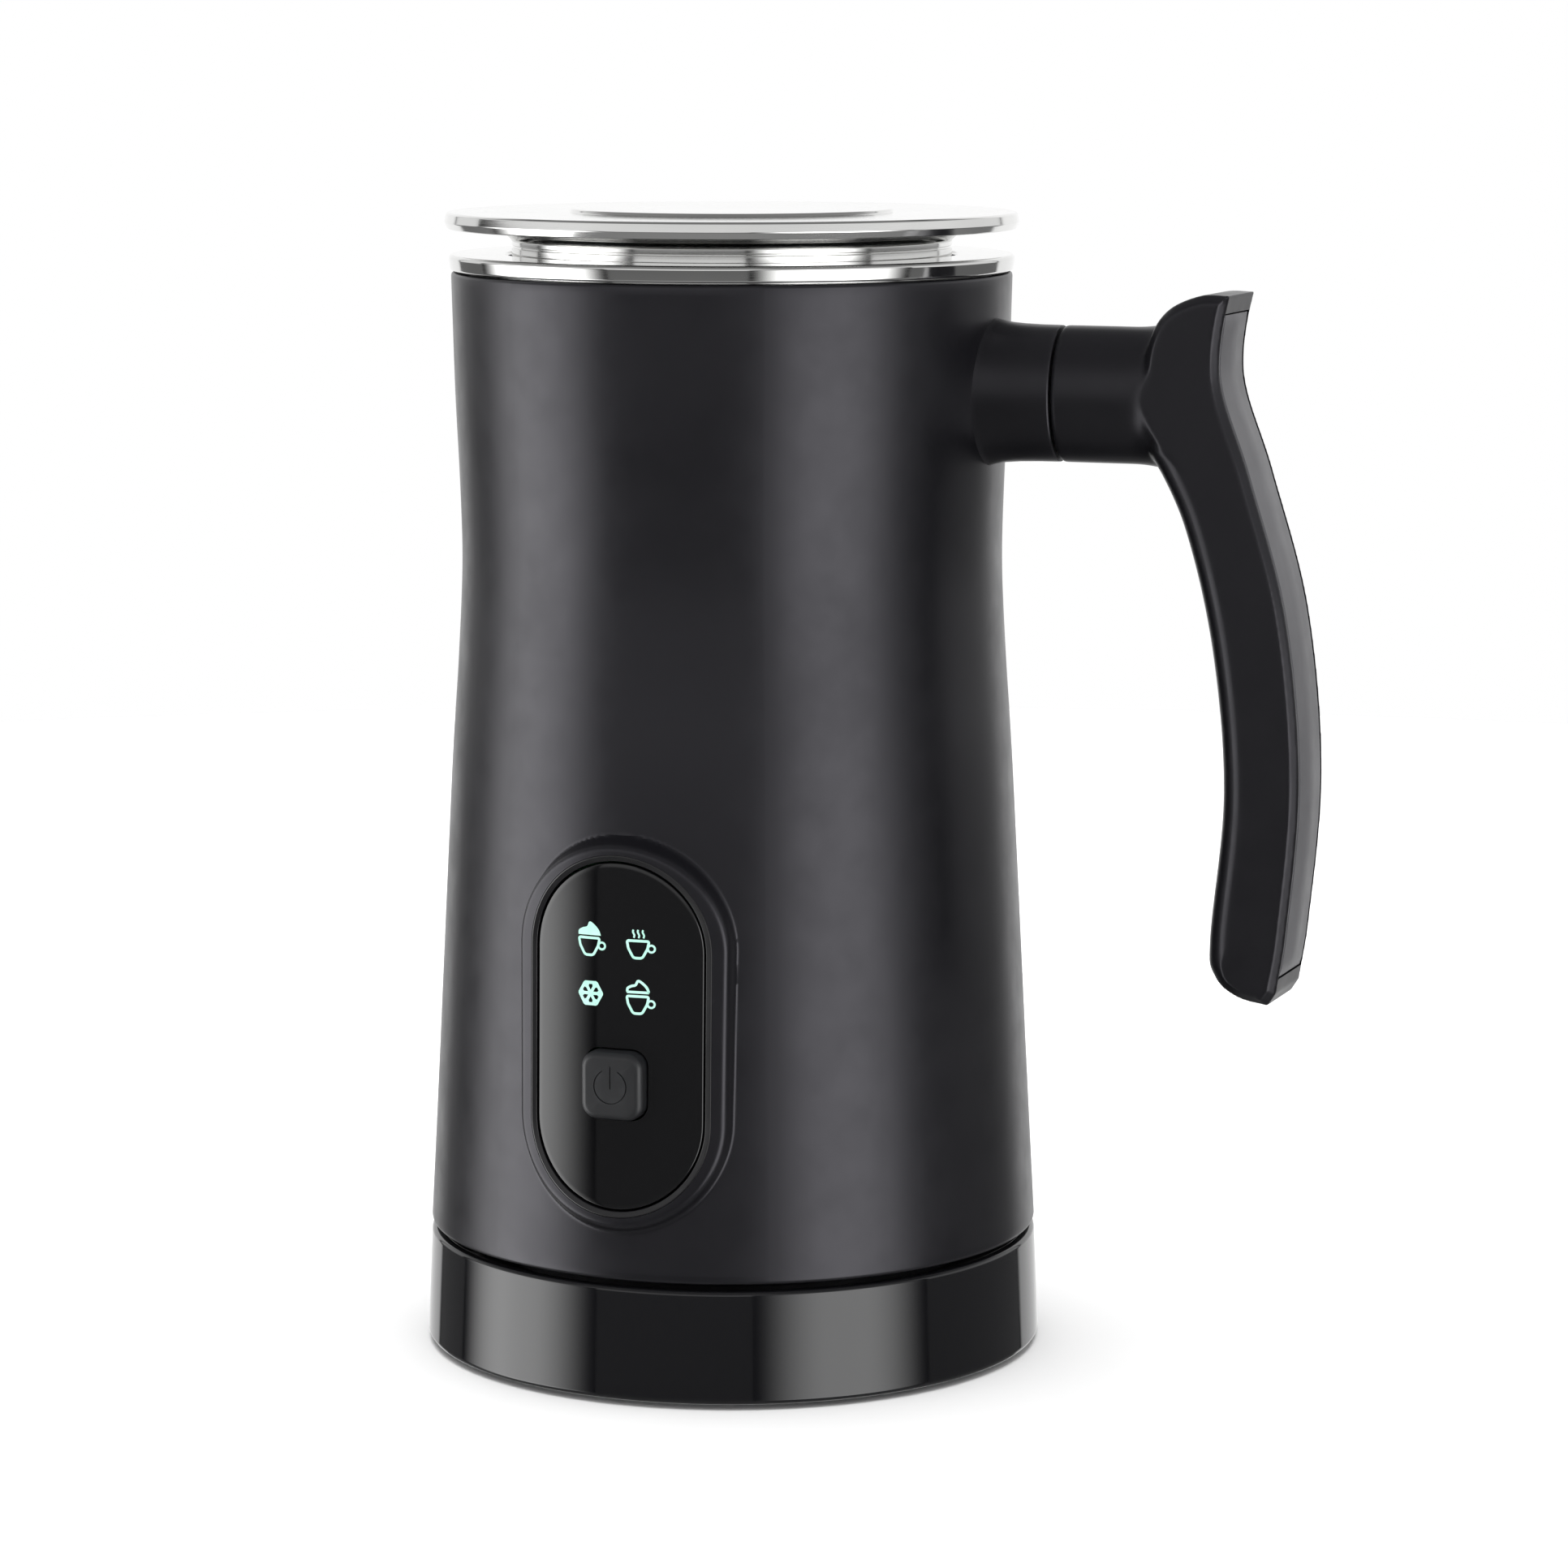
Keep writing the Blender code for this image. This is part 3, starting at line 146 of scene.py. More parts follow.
def round_corners(corners, closed, steps=6):
    """Polyline of (a, b, radius) corners, with an arc at each corner that has a radius."""
    path = []
    count = len(corners)
    for i, (a, b, radius) in enumerate(corners):
        here = np.array((a, b), float)
        if radius <= 0 or (not closed and i in (0, count - 1)):
            path.append(here)
            continue
        before = np.array(corners[i - 1][:2], float) - here
        after = np.array(corners[(i + 1) % count][:2], float) - here
        room = 0.49 * min(np.linalg.norm(before), np.linalg.norm(after))
        before /= np.linalg.norm(before)
        after /= np.linalg.norm(after)
        half = 0.5 * math.acos(max(-1.0, min(1.0, float(before @ after))))
        if half > math.radians(88):
            path.append(here)
            continue
        reach = min(radius / math.tan(half), room)
        true_radius = reach * math.tan(half)
        middle = before + after
        middle /= np.linalg.norm(middle)
        centre = here + middle * true_radius / math.sin(half)
        start = here + before * reach - centre
        end = here + after * reach - centre
        turn = math.atan2(start[0] * end[1] - start[1] * end[0], start @ end)
        for step in range(steps + 1):
            angle = turn * step / steps
            cos, sin = math.cos(angle), math.sin(angle)
            spun = (start[0] * cos - start[1] * sin, start[0] * sin + start[1] * cos)
            path.append(centre + np.array(spun))
    return path


ARC_STEPS = 40
SIDE_STEPS = 16


def capsule(margin):
    """Points (x, z) round the panel's capsule, grown by a margin."""
    half_width = LENS_HALF_WIDTH + margin
    rise = LENS_HALF_HEIGHT - LENS_HALF_WIDTH
    points = []
    for start, offset in ((0.0, rise), (math.pi, -rise)):
        for i in range(ARC_STEPS + 1):
            angle = start + math.pi * i / ARC_STEPS
            x, z = half_width * math.cos(angle), half_width * math.sin(angle)
            points.append((x, PANEL_Z + offset + z))
        side = -half_width if offset > 0 else half_width
        for i in range(1, SIDE_STEPS):
            points.append((side, PANEL_Z + offset * (1 - 2 * i / SIDE_STEPS)))
    return points


def rounded_rectangle(half_width, half_height, radius, steps=10):
    corners = [
        (half_width, half_height, radius), (-half_width, half_height, radius),
        (-half_width, -half_height, radius), (half_width, -half_height, radius),
    ]
    return round_corners(corners, True, steps)


# ---- Mesh helpers ----
def mesh_object(name, points, faces):
    """Object from points in millimetres, with its faces turned outwards."""
    mesh = bpy.data.meshes.new(name)
    mesh.from_pydata([tuple(float(c) * MM for c in p) for p in points], [], faces)
    shape = bmesh.new()
    shape.from_mesh(mesh)
    bmesh.ops.recalc_face_normals(shape, faces=shape.faces)
    shape.to_mesh(mesh)
    shape.free()
    made = bpy.data.objects.new(name, mesh)
    bpy.context.scene.collection.objects.link(made)
    return made


def stitch(rings, closed_across=False):
    """Points and faces of rings of equal length, joined in order; open ends get caps."""
    points = [p for ring in rings for p in ring]
    count = len(rings[0])
    faces = []
    spans = list(range(len(rings) - 1)) + ([len(rings) - 1] if closed_across else [])
    for k in spans:
        first = k * count
        second = ((k + 1) % len(rings)) * count
        for i in range(count):
            j = (i + 1) % count
            faces.append((first + i, first + j, second + j, second + i))
    if not closed_across:
        faces.append(tuple(range(count)))
        faces.append(tuple(reversed(range((len(rings) - 1) * count, len(rings) * count))))
    return points, faces


def lathe(name, corners, closed=True, segments=160, steps=6, axis="Z", at=(0, 0, 0)):
    """Turned solid from (r, z, corner radius) corners."""
    path = round_corners(corners, closed, steps)
    points, faces, rings = [], [], []
    for r, z in path:
        if r < 1e-6:
            rings.append([len(points)])
            points.append((0.0, 0.0, z))
            continue
        rings.append(list(range(len(points), len(points) + segments)))
        for i in range(segments):
            angle = 2 * math.pi * i / segments
            points.append((r * math.cos(angle), r * math.sin(angle), z))
    pairs = list(zip(rings, rings[1:]))
    if closed:
        pairs.append((rings[-1], rings[0]))
    for first, second in pairs:
        for i in range(segments):
            j = (i + 1) % segments
            if len(first) == 1 and len(second) == 1:
                continue
            if len(first) == 1:
                faces.append((first[0], second[j], second[i]))
            elif len(second) == 1:
                faces.append((first[i], first[j], second[0]))
            else:
                faces.append((first[i], first[j], second[j], second[i]))
    turned = [turn_axis(p, axis, at) for p in points]
    return mesh_object(name, turned, faces)


def turn_axis(point, axis, at):
    """Map a point turned about Z onto an axis through a place."""
    x, y, z = point
    if axis == "Y":
        x, y, z = y, z, x
    return (x + at[0], y + at[1], z + at[2])


def prism_y(name, outline, low, high):
    """Outline in (x, z) extruded between two y levels."""
    rings = [[(x, y, z) for x, z in outline] for y in (low, high)]
    return mesh_object(name, *stitch(rings))


def boolean(target, tool, operation="DIFFERENCE"):
    """Apply an exact Boolean and drop its tool."""
    step = target.modifiers.new("cut", "BOOLEAN")
    step.operation = operation
    step.solver = "EXACT"
    step.object = tool
    apply_modifiers(target)
    bpy.data.objects.remove(tool, do_unlink=True)
    return target


def apply_modifiers(target):
    bpy.context.view_layer.update()
    graph = bpy.context.evaluated_depsgraph_get()
    mesh = bpy.data.meshes.new_from_object(target.evaluated_get(graph))
    target.modifiers.clear()
    target.data = mesh
    return target


def dress(piece, finish, body, *nodes, sharp=38, weighted=True):
    """Give a piece its material, smooth shading and CAD body, and hide the CAD nodes it takes the
    place of.
    """
    surface, slot = SURFACES[finish]
    piece.data.materials.clear()
    piece.data.materials.append(surface)
    piece.data.shade_smooth()
    piece.data.set_sharp_from_angle(angle=math.radians(sharp))
    if weighted:
        normals = piece.modifiers.new("normals", "WEIGHTED_NORMAL")
        normals.keep_sharp = True
    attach(piece, body)
    if nodes:
        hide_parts(*nodes)


def turned(name, finish, body, closed, segments, corners, steps=6, axis="Z", at=(0, 0, 0)):
    """Turned piece that takes the place of the CAD node of its name."""
    dress(lathe(name + "_fine", corners, closed, segments, steps, axis, at), finish, body, name)


# ---- Materials ----
def feed(surface, made, inputs):
    """Give a node's inputs a constant or a link from another node's socket."""
    for socket, value in inputs.items():
        if isinstance(value, bpy.types.NodeSocket):
            surface.node_tree.links.new(value, made.inputs[socket])
        else:
            made.inputs[socket].default_value = value


def node(surface, kind, inputs=None, **settings):
    made = surface.node_tree.nodes.new(kind)
    for key, value in settings.items():
        setattr(made, key, value)
    feed(surface, made, inputs or {})
    return made


def shader_of(surface):
    return surface.node_tree.nodes["Principled BSDF"]


def principled(name, colour, roughness, **inputs):
    """Principled material with constants on its own sockets."""
    surface = bpy.data.materials.new(name)
    surface.use_nodes = True
    inputs = {key.replace("_", " "): value for key, value in inputs.items()}
    inputs |= {"Base Color": (*colour, 1.0), "Roughness": roughness}
    feed(surface, shader_of(surface), inputs)
    return surface


def object_coordinates(surface):
    return node(surface, "ShaderNodeTexCoord").outputs["Object"]


def maths(surface, operation, first, second, **settings):
    inputs = {0: first, 1: second}
    return node(surface, "ShaderNodeMath", inputs, operation=operation, **settings).outputs[0]


def noise(surface, scale, detail=2.0, vector=None):
    """Noise value at a scale per metre."""
    vector = vector or object_coordinates(surface)
    inputs = {"Scale": scale, "Detail": detail, "Roughness": 0.55, "Vector": vector}
    return node(surface, "ShaderNodeTexNoise", inputs).outputs["Fac"]


def remap(surface, value, low, high, from_low=0.3, from_high=0.7):
    inputs = {"Value": value, "From Min": from_low, "From Max": from_high}
    inputs |= {"To Min": low, "To Max": high}
    return node(surface, "ShaderNodeMapRange", inputs).outputs["Result"]


def bump(surface, value, distance):
    made = node(surface, "ShaderNodeBump", {"Distance": distance, "Height": value})
    feed(surface, shader_of(surface), {"Normal": made.outputs["Normal"]})


def vary_roughness(surface, low, high, scale, detail=3.0, vector=None):
    value = noise(surface, scale, detail, vector)
    feed(surface, shader_of(surface), {"Roughness": remap(surface, value, low, high)})


def blend(surface, factor, first, second, target="Base Color"):
    """Mix of two colours on one of the shader's sockets."""
    inputs = {"Factor": factor, "A": first, "B": second}
    mix = node(surface, "ShaderNodeMix", inputs, data_type="RGBA")
    feed(surface, shader_of(surface), {target: mix.outputs["Result"]})


def vary_colour(surface, first, second, scale, detail=3.0, target="Base Color"):
    value = remap(surface, noise(surface, scale, detail), 0.0, 1.0)
    blend(surface, value, (*first, 1.0), (*second, 1.0), target)


def scaled(colour, factor, lift=0.0):
    return tuple(factor * c + lift for c in colour)


def worn_edges(surface, colour, amount):
    """Lighten the convex edges a little, where hands rub the surface."""
    pointiness = node(surface, "ShaderNodeNewGeometry").outputs["Pointiness"]
    edge = remap(surface, pointiness, 0.0, amount, 0.515, 0.56)
    patches = remap(surface, noise(surface, 900.0, 4.0), 0.2, 1.0)
    both = maths(surface, "MULTIPLY", edge, patches, use_clamp=True)
    earlier = shader_of(surface).inputs["Base Color"].links[0].from_socket
    blend(surface, both, earlier, (*colour, 1.0))


def turned_coordinates(surface, along, round_scale):
    """Coordinates that stay the same round the axis, for lathe and polishing marks."""
    split = node(surface, "ShaderNodeSeparateXYZ", {0: object_coordinates(surface)}).outputs
    angle = maths(surface, "ARCTAN2", split["Y"], split["X"])
    flat = node(surface, "ShaderNodeCombineXYZ", {"X": split["X"], "Y": split["Y"]}).outputs[0]
    radius = node(surface, "ShaderNodeVectorMath", {0: flat}, operation="LENGTH").outputs["Value"]
    inputs = {
        "X": maths(surface, "MULTIPLY", radius, along),
        "Y": maths(surface, "MULTIPLY", angle, round_scale),
        "Z": maths(surface, "MULTIPLY", split["Z"], along),
    }
    return node(surface, "ShaderNodeCombineXYZ", inputs).outputs[0]


def matte_plastic(name, colour, roughness=0.42, grain=0.000012, gleam=0.5, tint=(1, 1, 1)):
    """Spark-eroded moulding: fine grain, slight mottling, soft rubbed edges."""
    surface = principled(name, colour, roughness)
    feed(
        surface, shader_of(surface), {"Specular IOR Level": gleam, "Specular Tint": (*tint, 1.0)}
    )
    vary_colour(surface, colour, scaled(colour, 1.12), 60.0)
    vary_roughness(surface, roughness - 0.03, roughness + 0.04, 140.0)
    worn_edges(surface, scaled(colour, 2.2, 0.01), 0.35)
    bump(surface, noise(surface, 5200.0), grain)
    return surface


def gloss_plastic(name, colour, roughness=0.045):
    """High-gloss moulding: faint orange peel and smudges."""
    surface = principled(name, colour, roughness, IOR=1.5)
    vary_roughness(surface, roughness * 0.8, roughness * 1.9, 45.0, 5.0)
    bump(surface, noise(surface, 420.0, 1.0), 0.0000012)
    return surface


def metal(name, colour, roughness, marks=0.0000015, round_marks=True):
    """Metal with fine marks, which run round the axis on turned pieces."""
    surface = principled(name, colour, roughness, Metallic=1.0)
    vector = turned_coordinates(surface, 9000.0, 6.0) if round_marks else None
    scale = 1.0 if round_marks else 2600.0
    vary_roughness(surface, roughness * 0.75, roughness * 1.35, scale, 3.0, vector)
    bump(surface, noise(surface, scale, 2.0, vector), marks)
    vary_colour(surface, colour, scaled(colour, 0.94), 70.0, 2.0)
    return surface


def soft_rubber(name, colour, roughness=0.8):
    surface = principled(name, colour, roughness)
    vary_colour(surface, colour, scaled(colour, 1.5), 300.0)
    bump(surface, noise(surface, 3200.0, 3.0), 0.00002)
    return surface


def circuit_board(name):
    """Green solder mask over faint copper tracks."""
    surface = principled(name, (0.03, 0.19, 0.07), 0.38)
    inputs = {
        "Vector": object_coordinates(surface),
        "Scale": 260.0,
        "Mortar Size": 0.09,
        "Color1": (0.020, 0.14, 0.05, 1.0),
        "Color2": (0.028, 0.18, 0.065, 1.0),
        "Mortar": (0.07, 0.30, 0.11, 1.0),
    }
    tracks = node(surface, "ShaderNodeTexBrick", inputs).outputs
    feed(surface, shader_of(surface), {"Base Color": tracks["Color"]})
    bump(surface, tracks["Fac"], 0.00003)
    return surface


def lit_symbol(name):
    """Mint light that shines through the lens, a little uneven like a light guide."""
    surface = principled(name, (0.30, 0.50, 0.43), 0.35, Emission_Strength=0.52)
    vary_colour(surface, (0.36, 0.86, 0.66), (0.62, 1.0, 0.86), 500.0, 2.0, "Emission Color")
    return surface


COOL = (0.94, 0.92, 1.0)
SHELL_BLACK = (0.0046, 0.0045, 0.0058)
HANDLE_BLACK = (0.0050, 0.0049, 0.0060)
BUTTON_BLACK = (0.0095, 0.0100, 0.0115)
# Finish: material and record slot.
SURFACES = {
    "shell": (matte_plastic("shell_plastic", SHELL_BLACK, 0.32, 4e-6, 0.42, COOL), "matte_black"),
    "bezel": (matte_plastic("bezel_plastic", (0.0052, 0.0050, 0.0060), 0.30, 4e-6), "matte_black"),
    "handle": (matte_plastic("handle_plastic", HANDLE_BLACK, 0.33, 4e-6, 0.36, COOL), "matte_black"),
    "strip": (matte_plastic("strip_plastic", (0.050, 0.049, 0.055), 0.36, 6e-6), "dark_grey"),
    "button": (matte_plastic("button_plastic", BUTTON_BLACK, 0.45, 8e-6), "dark_grey"),
    "inner": (matte_plastic("inner_moulding", (0.060, 0.060, 0.066), 0.52, 18e-6), "inner_plastic"),
    "gloss": (gloss_plastic("gloss_plastic", (0.006, 0.006, 0.007)), "gloss_black"),
    "lens": (gloss_plastic("lens_plastic", (0.004, 0.004, 0.0045), 0.05), "gloss_black"),
    "chrome": (metal("polished_steel", (0.70, 0.70, 0.69), 0.09, 4e-7), "polished_steel"),
    "lid": (metal("lid_steel", (0.74, 0.74, 0.73), 0.11, 6e-7), "polished_steel"),
    "cup": (metal("brushed_cup_steel", (0.66, 0.66, 0.65), 0.24, 3e-6), "polished_steel"),
    "zinc": (metal("zinc_plating", (0.56, 0.56, 0.54), 0.32, 4e-6, False), "zinc_steel"),
    "brass": (metal("brass_contact", (0.78, 0.58, 0.24), 0.24, 3e-6), "brass"),
    "aluminium": (metal("turned_aluminium", (0.70, 0.71, 0.72), 0.36, 4e-6), "aluminium"),
    "magnet": (metal("nickel_magnet", (0.42, 0.42, 0.44), 0.28, 3e-6, False), "magnet_grey"),
    "rubber": (soft_rubber("foot_rubber", (0.022, 0.022, 0.022)), "rubber"),
    "silicone": (soft_rubber("seal_silicone", (0.42, 0.43, 0.44), 0.5), "silicone"),
    "white": (matte_plastic("white_moulding", (0.70, 0.70, 0.67), 0.42, 10e-6), "white_plastic"),
    "board": (circuit_board("circuit_board"), "board_green"),
    "symbol": (lit_symbol("lit_symbol"), "white_plastic"),
}
# The first finish of a slot is the one that CAD nodes left in view get.
CAD_SURFACES = {}
for made, slot in SURFACES.values():
    CAD_SURFACES.setdefault(slot, made)


def paint_cad_nodes():
    """Every CAD node that stays in view gets the procedural finish of its slot."""
    for part in frame["record"]["subparts"]:
        piece = frame["nodes"][part["node"]]
        surface = CAD_SURFACES[part["material_slot"]]
        if not piece.material_slots:
            piece.data.materials.append(surface)
        for holder in piece.material_slots:
            holder.material = surface


# ---- Power base ----
# Count, radius and first angle of the screws and feet.
BASE_SCREWS = (3, 33.0, 30)
BASE_FEET = (4, 42.0, 45)
COVER_SCREWS = (3, 45.4, 90)


def around(count, radius, start_degrees):
    """Places (x, y) on a circle about the jug's axis."""
    for i in range(count):
        angle = math.radians(start_degrees) + 2 * math.pi * i / count
        yield radius * math.cos(angle), radius * math.sin(angle)


def build_base():
    shell = lathe("base_shell_fine", [
        (50.2, BASE_UNDERSIDE_Z, 0.2), (52.5, BASE_UNDERSIDE_Z, 0.9), (51.66, BASE_TOP_Z, 0.9),
        (50.0, BASE_TOP_Z, 0.5), (49.2, DECK_Z, 0.8), (40.0, DECK_Z, 0.3),
        (39.6, DECK_Z - 0.3, 0.2), (35.4, DECK_Z - 0.3, 0.2), (35.0, DECK_Z, 0.3),
        (20.0, DECK_Z, 0.3), (19.6, DECK_Z - 0.3, 0.2), (16.0, DECK_Z - 0.3, 0.3),
        (16.0, 15.8, 0.2), (48.8, 15.8, 1.0), (50.2, 14.4, 1.0),
    ], segments=256)
    opening = [(0, 40, 0), (4.1, 40, 0), (4.1, 60, 0), (0, 60, 0)]
    boolean(shell, lathe("opening", opening, False, 48, axis="Y", at=(0, 0, CORD_Z)))
    dress(shell, "gloss", "power_base", "base_shell")

    plate = lathe("base_plate_fine", [
        (0, BASE_UNDERSIDE_Z, 0), (27.0, BASE_UNDERSIDE_Z, 0.1),
        (27.3, BASE_UNDERSIDE_Z + 0.5, 0.1), (28.3, BASE_UNDERSIDE_Z + 0.5, 0.1),
        (28.6, BASE_UNDERSIDE_Z, 0.1), (49.9, BASE_UNDERSIDE_Z, 0.4), (49.9, 2.8, 0.1),
        (0, 2.8, 0),
    ], False, 192)
    for x, y in around(*BASE_SCREWS):
        boolean(plate, counterbore(3.3, 2.1, 1.75, 4.0, (x, y)))
    for x, y in around(*BASE_FEET):
        boolean(plate, upright("pocket", 6.4, -1.0, 1.8, (x, y)))
    for row in range(5):
        for side in (-1, 1):
            vent = (side * 12.0, -8.0 + 4.0 * row)
            boolean(plate, rounded_slot(*vent, 6.0, 0.7, -1.0, BASE_UNDERSIDE_Z + 0.6))
    dress(plate, "inner", "power_base", "base_plate", sharp=20)

    for number, (x, y) in enumerate(around(*BASE_SCREWS), 1):
        head = BASE_UNDERSIDE_Z + 0.2
        build_screw(f"base_screw_{number}", (x, y), head, 2.9, 1.4, 11.0, "power_base")
    for number, (x, y) in enumerate(around(*BASE_FEET), 1):
        turned(f"base_foot_{number}", "rubber", "power_base", False, 64, [
            (0, 0.25, 0), (3.2, 0.25, 0.1), (3.6, 0, 0.2), (6.0, 0, 0.5), (6.0, 1.5, 0.1),
            (0, 1.5, 0),
        ], at=(x, y, 0))
    turned("cord_inlet", "rubber", "power_base", True, 64, [
        (2.1, 44.0, 0.2), (5.6, 44.0, 0.3), (5.6, 46.0, 0.3), (3.8, 46.0, 0.1),
        (3.8, 52.0, 0.5), (2.1, 52.0, 0.4),
    ], axis="Y", at=(0, 0, CORD_Z))


def upright(name, radius, low, high, centre, segments=48):
    corners = [(0, low, 0), (radius, low, 0), (radius, high, 0), (0, high, 0)]
    return lathe(name, corners, False, segments, at=(*centre, 0))


def counterbore(head_radius, head_top, hole_radius, hole_top, centre):
    corners = [
        (0, -30.0, 0), (head_radius, -30.0, 0), (head_radius, head_top, 0),
        (hole_radius, head_top, 0), (hole_radius, hole_top, 0), (0, hole_top, 0),
    ]
    return lathe("counterbore", corners, False, 48, at=(*centre, 0))


def rounded_slot(x, y, half_length, half_width, low, high):
    """Upright slot cutter with round ends, long along X."""
    outline = rounded_rectangle(half_length, half_width, half_width * 0.98, 8)
    rings = [[(x + a, y + b, z) for a, b in outline] for z in (low, high)]
    return mesh_object("slot", *stitch(rings))


def build_screw(name, centre, head_low, head_radius, shank_radius, tip, body):
    """Pan-head screw with a cross recess, head down."""
    head_top = head_low + 0.8
    screw = lathe(name + "_fine", [
        (0, head_low, 0), (head_radius * 0.75, head_low, 0.2),
        (head_radius, head_low + 0.3, 0.2), (head_radius, head_top, 0.1),
        (shank_radius, head_top, 0.1), (shank_radius, tip - 1.0, 0.2), (0, tip, 0),
    ], False, 40)
    for long_x in (True, False):
        half = (head_radius * 0.55, head_radius * 0.13)
        half = half if long_x else half[::-1]
        outline = rounded_rectangle(half[0], half[1], 0.06, 2)
        rings = [[(a, b, z) for a, b in outline] for z in (head_low - 1.0, head_low + 0.5)]
        boolean(screw, mesh_object("cross", *stitch(rings)))
    screw.data.transform(Matrix.Translation((centre[0] * MM, centre[1] * MM, 0)))
    dress(screw, "zinc", body, name)


def build_socket():
    turned("connector_socket", "inner", "power_base", False, 128, [
        (0, 15.0, 0), (2.7, 15.0, 0.1), (2.7, POST_TOP_Z, 0.5), (6.6, POST_TOP_Z, 0.5),
        (6.6, 16.0, 0.1), (8.6, 16.0, 0.1), (8.6, POST_TOP_Z, 0.5), (15.6, POST_TOP_Z, 1.4),
        (15.6, 15.5, 0.1), (19.0, 15.5, 0.2), (19.0, 13.5, 0.2), (13.0, 13.5, 0.2),
        (13.0, 6.0, 0.5), (0, 6.0, 0),
    ])
    turned("socket_ring_contact", "brass", "power_base", True, 96, [
        (6.95, 16.3, 0.1), (8.25, 16.3, 0.1), (8.25, 18.2, 0.3), (6.95, 18.2, 0.3),
    ])
    turned("socket_centre_contact", "brass", "power_base", False, 48, [
        (0, 15.3, 0), (2.3, 15.3, 0.1), (2.3, 17.0, 0.4), (0, 17.0, 0),
    ])


def build_connector():
    turned("connector_plug", "inner", "jug_connector", False, 128, [
        (0, 31.0, 0), (2.5, 31.0, 0.1), (2.5, 27.6, 0.2), (6.65, 27.6, 0.2), (6.65, 30.8, 0.1),
        (8.55, 30.8, 0.1), (8.55, 27.6, 0.2), (12.3, 27.6, 0.4), (12.3, 29.9, 0.1),
        (15.5, 29.9, 0.2), (15.5, 33.0, 0.3), (0, 33.0, 0),
    ])
    turned("plug_centre_pin", "brass", "jug_connector", False, 48, [
        (0, 17.3, 0), (1.2, 17.3, 0.9), (2.1, 18.8, 0.8), (2.1, 30.7, 0.1), (0, 30.7, 0),
    ])
    turned("plug_ring_contact", "brass", "jug_connector", True, 96, [
        (7.0, 18.5, 0.4), (8.2, 18.5, 0.4), (8.2, 30.5, 0.1), (7.0, 30.5, 0.1),
    ])


# ---- Jug shell ----
# Width of the raised surround outside the lens, and where it meets the shell.
POD_LIP = 1.9
POD_FOOT = 4.2


def capsule_distance(x, z):
    """Distance outside the lens's outline, negative inside."""
    rise = LENS_HALF_HEIGHT - LENS_HALF_WIDTH
    along = max(0.0, abs(z - PANEL_Z) - rise)
    return math.hypot(x, along) - LENS_HALF_WIDTH


def pod_share(distance):
    """1 on the raised surround, falling in a soft curve to 0 on the shell."""
    t = (distance - POD_LIP) / (POD_FOOT - POD_LIP)
    if t <= 0:
        return 1.0
    if t >= 1:
        return 0.0
    return 0.5 * (1 + math.cos(math.pi * t ** 1.5))


def graded(stops):
    """Values from (start, step) stops; the last stop only ends the list."""
    values = []
    for (start, step), (end, _) in zip(stops, stops[1:]):
        count = max(1, round((end - start) / step))
        values += [start + (end - start) * i / count for i in range(count)]
    return values


def build_shell():
    angles = graded([(-180, 2.5), (-45, 1.5), (-28, 0.3), (28, 1.5), (45, 2.5), (180, 0)])
    heights = graded([(21.4, 0.9), (25, 0.35), (98, 1.2), (181.4, 0)]) + [181.4]
    rings = []
    edge_low = [
        (SHELL_BOTTOM_Z, -SHELL_WALL), (SHELL_BOTTOM_Z, -0.8), (SHELL_BOTTOM_Z + 0.1, -0.4),
        (SHELL_BOTTOM_Z + 0.35, -0.12),
    ]
    edge_high = [(181.75, -0.08), (181.95, -0.3), (SHELL_TOP_Z, -0.6), (SHELL_TOP_Z, -SHELL_WALL)]
    inner = [(z, -SHELL_WALL) for z in np.linspace(SHELL_TOP_Z - 8, SHELL_BOTTOM_Z + 8, 24)]
    for z, offset in edge_low + [(z, 0.0) for z in heights] + edge_high + inner:
        ring = []
        for degrees in angles:
            angle = math.radians(degrees)
            radius = shell_radius(z) + offset
            if offset == 0.0:
                x = radius * math.sin(angle)
                if abs(degrees) < 60:
                    share = pod_share(capsule_distance(x, z))
                    radius += (face_radius(z) - radius) * share
            ring.append((radius * math.sin(angle), -radius * math.cos(angle), z))
        rings.append(ring)
    shell = mesh_object("outer_shell_fine", *stitch(rings, closed_across=True))
    boolean(shell, prism_y("window", capsule(WINDOW_MARGIN), -62, -40))
    dress(shell, "shell", "jug", "outer_shell")

    cover = lathe("bottom_cover_fine", [
        (17.0, 21.0, 0.5), (36.0, 21.0, 0.3), (36.0, DECK_Z + 0.4, 0.5),
        (39.0, DECK_Z + 0.4, 0.5), (39.0, 21.0, 0.3), (48.8, 21.0, 0.5), (48.8, 23.4, 0.3),
        (19.2, 23.4, 0.3), (19.2, 29.6, 0.5), (12.7, 29.6, 0.3), (12.7, 27.4, 0.3),
        (17.0, 27.4, 0.5),
    ], True, 192)
    for number, centre in enumerate(around(*COVER_SCREWS), 1):
        boolean(cover, counterbore(2.8, 22.3, 1.65, 25.0, centre))
        build_screw(f"cover_screw_{number}", centre, 21.1, 2.4, 1.3, 34.0, "jug")
    dress(cover, "inner", "jug", "bottom_cover", sharp=20)


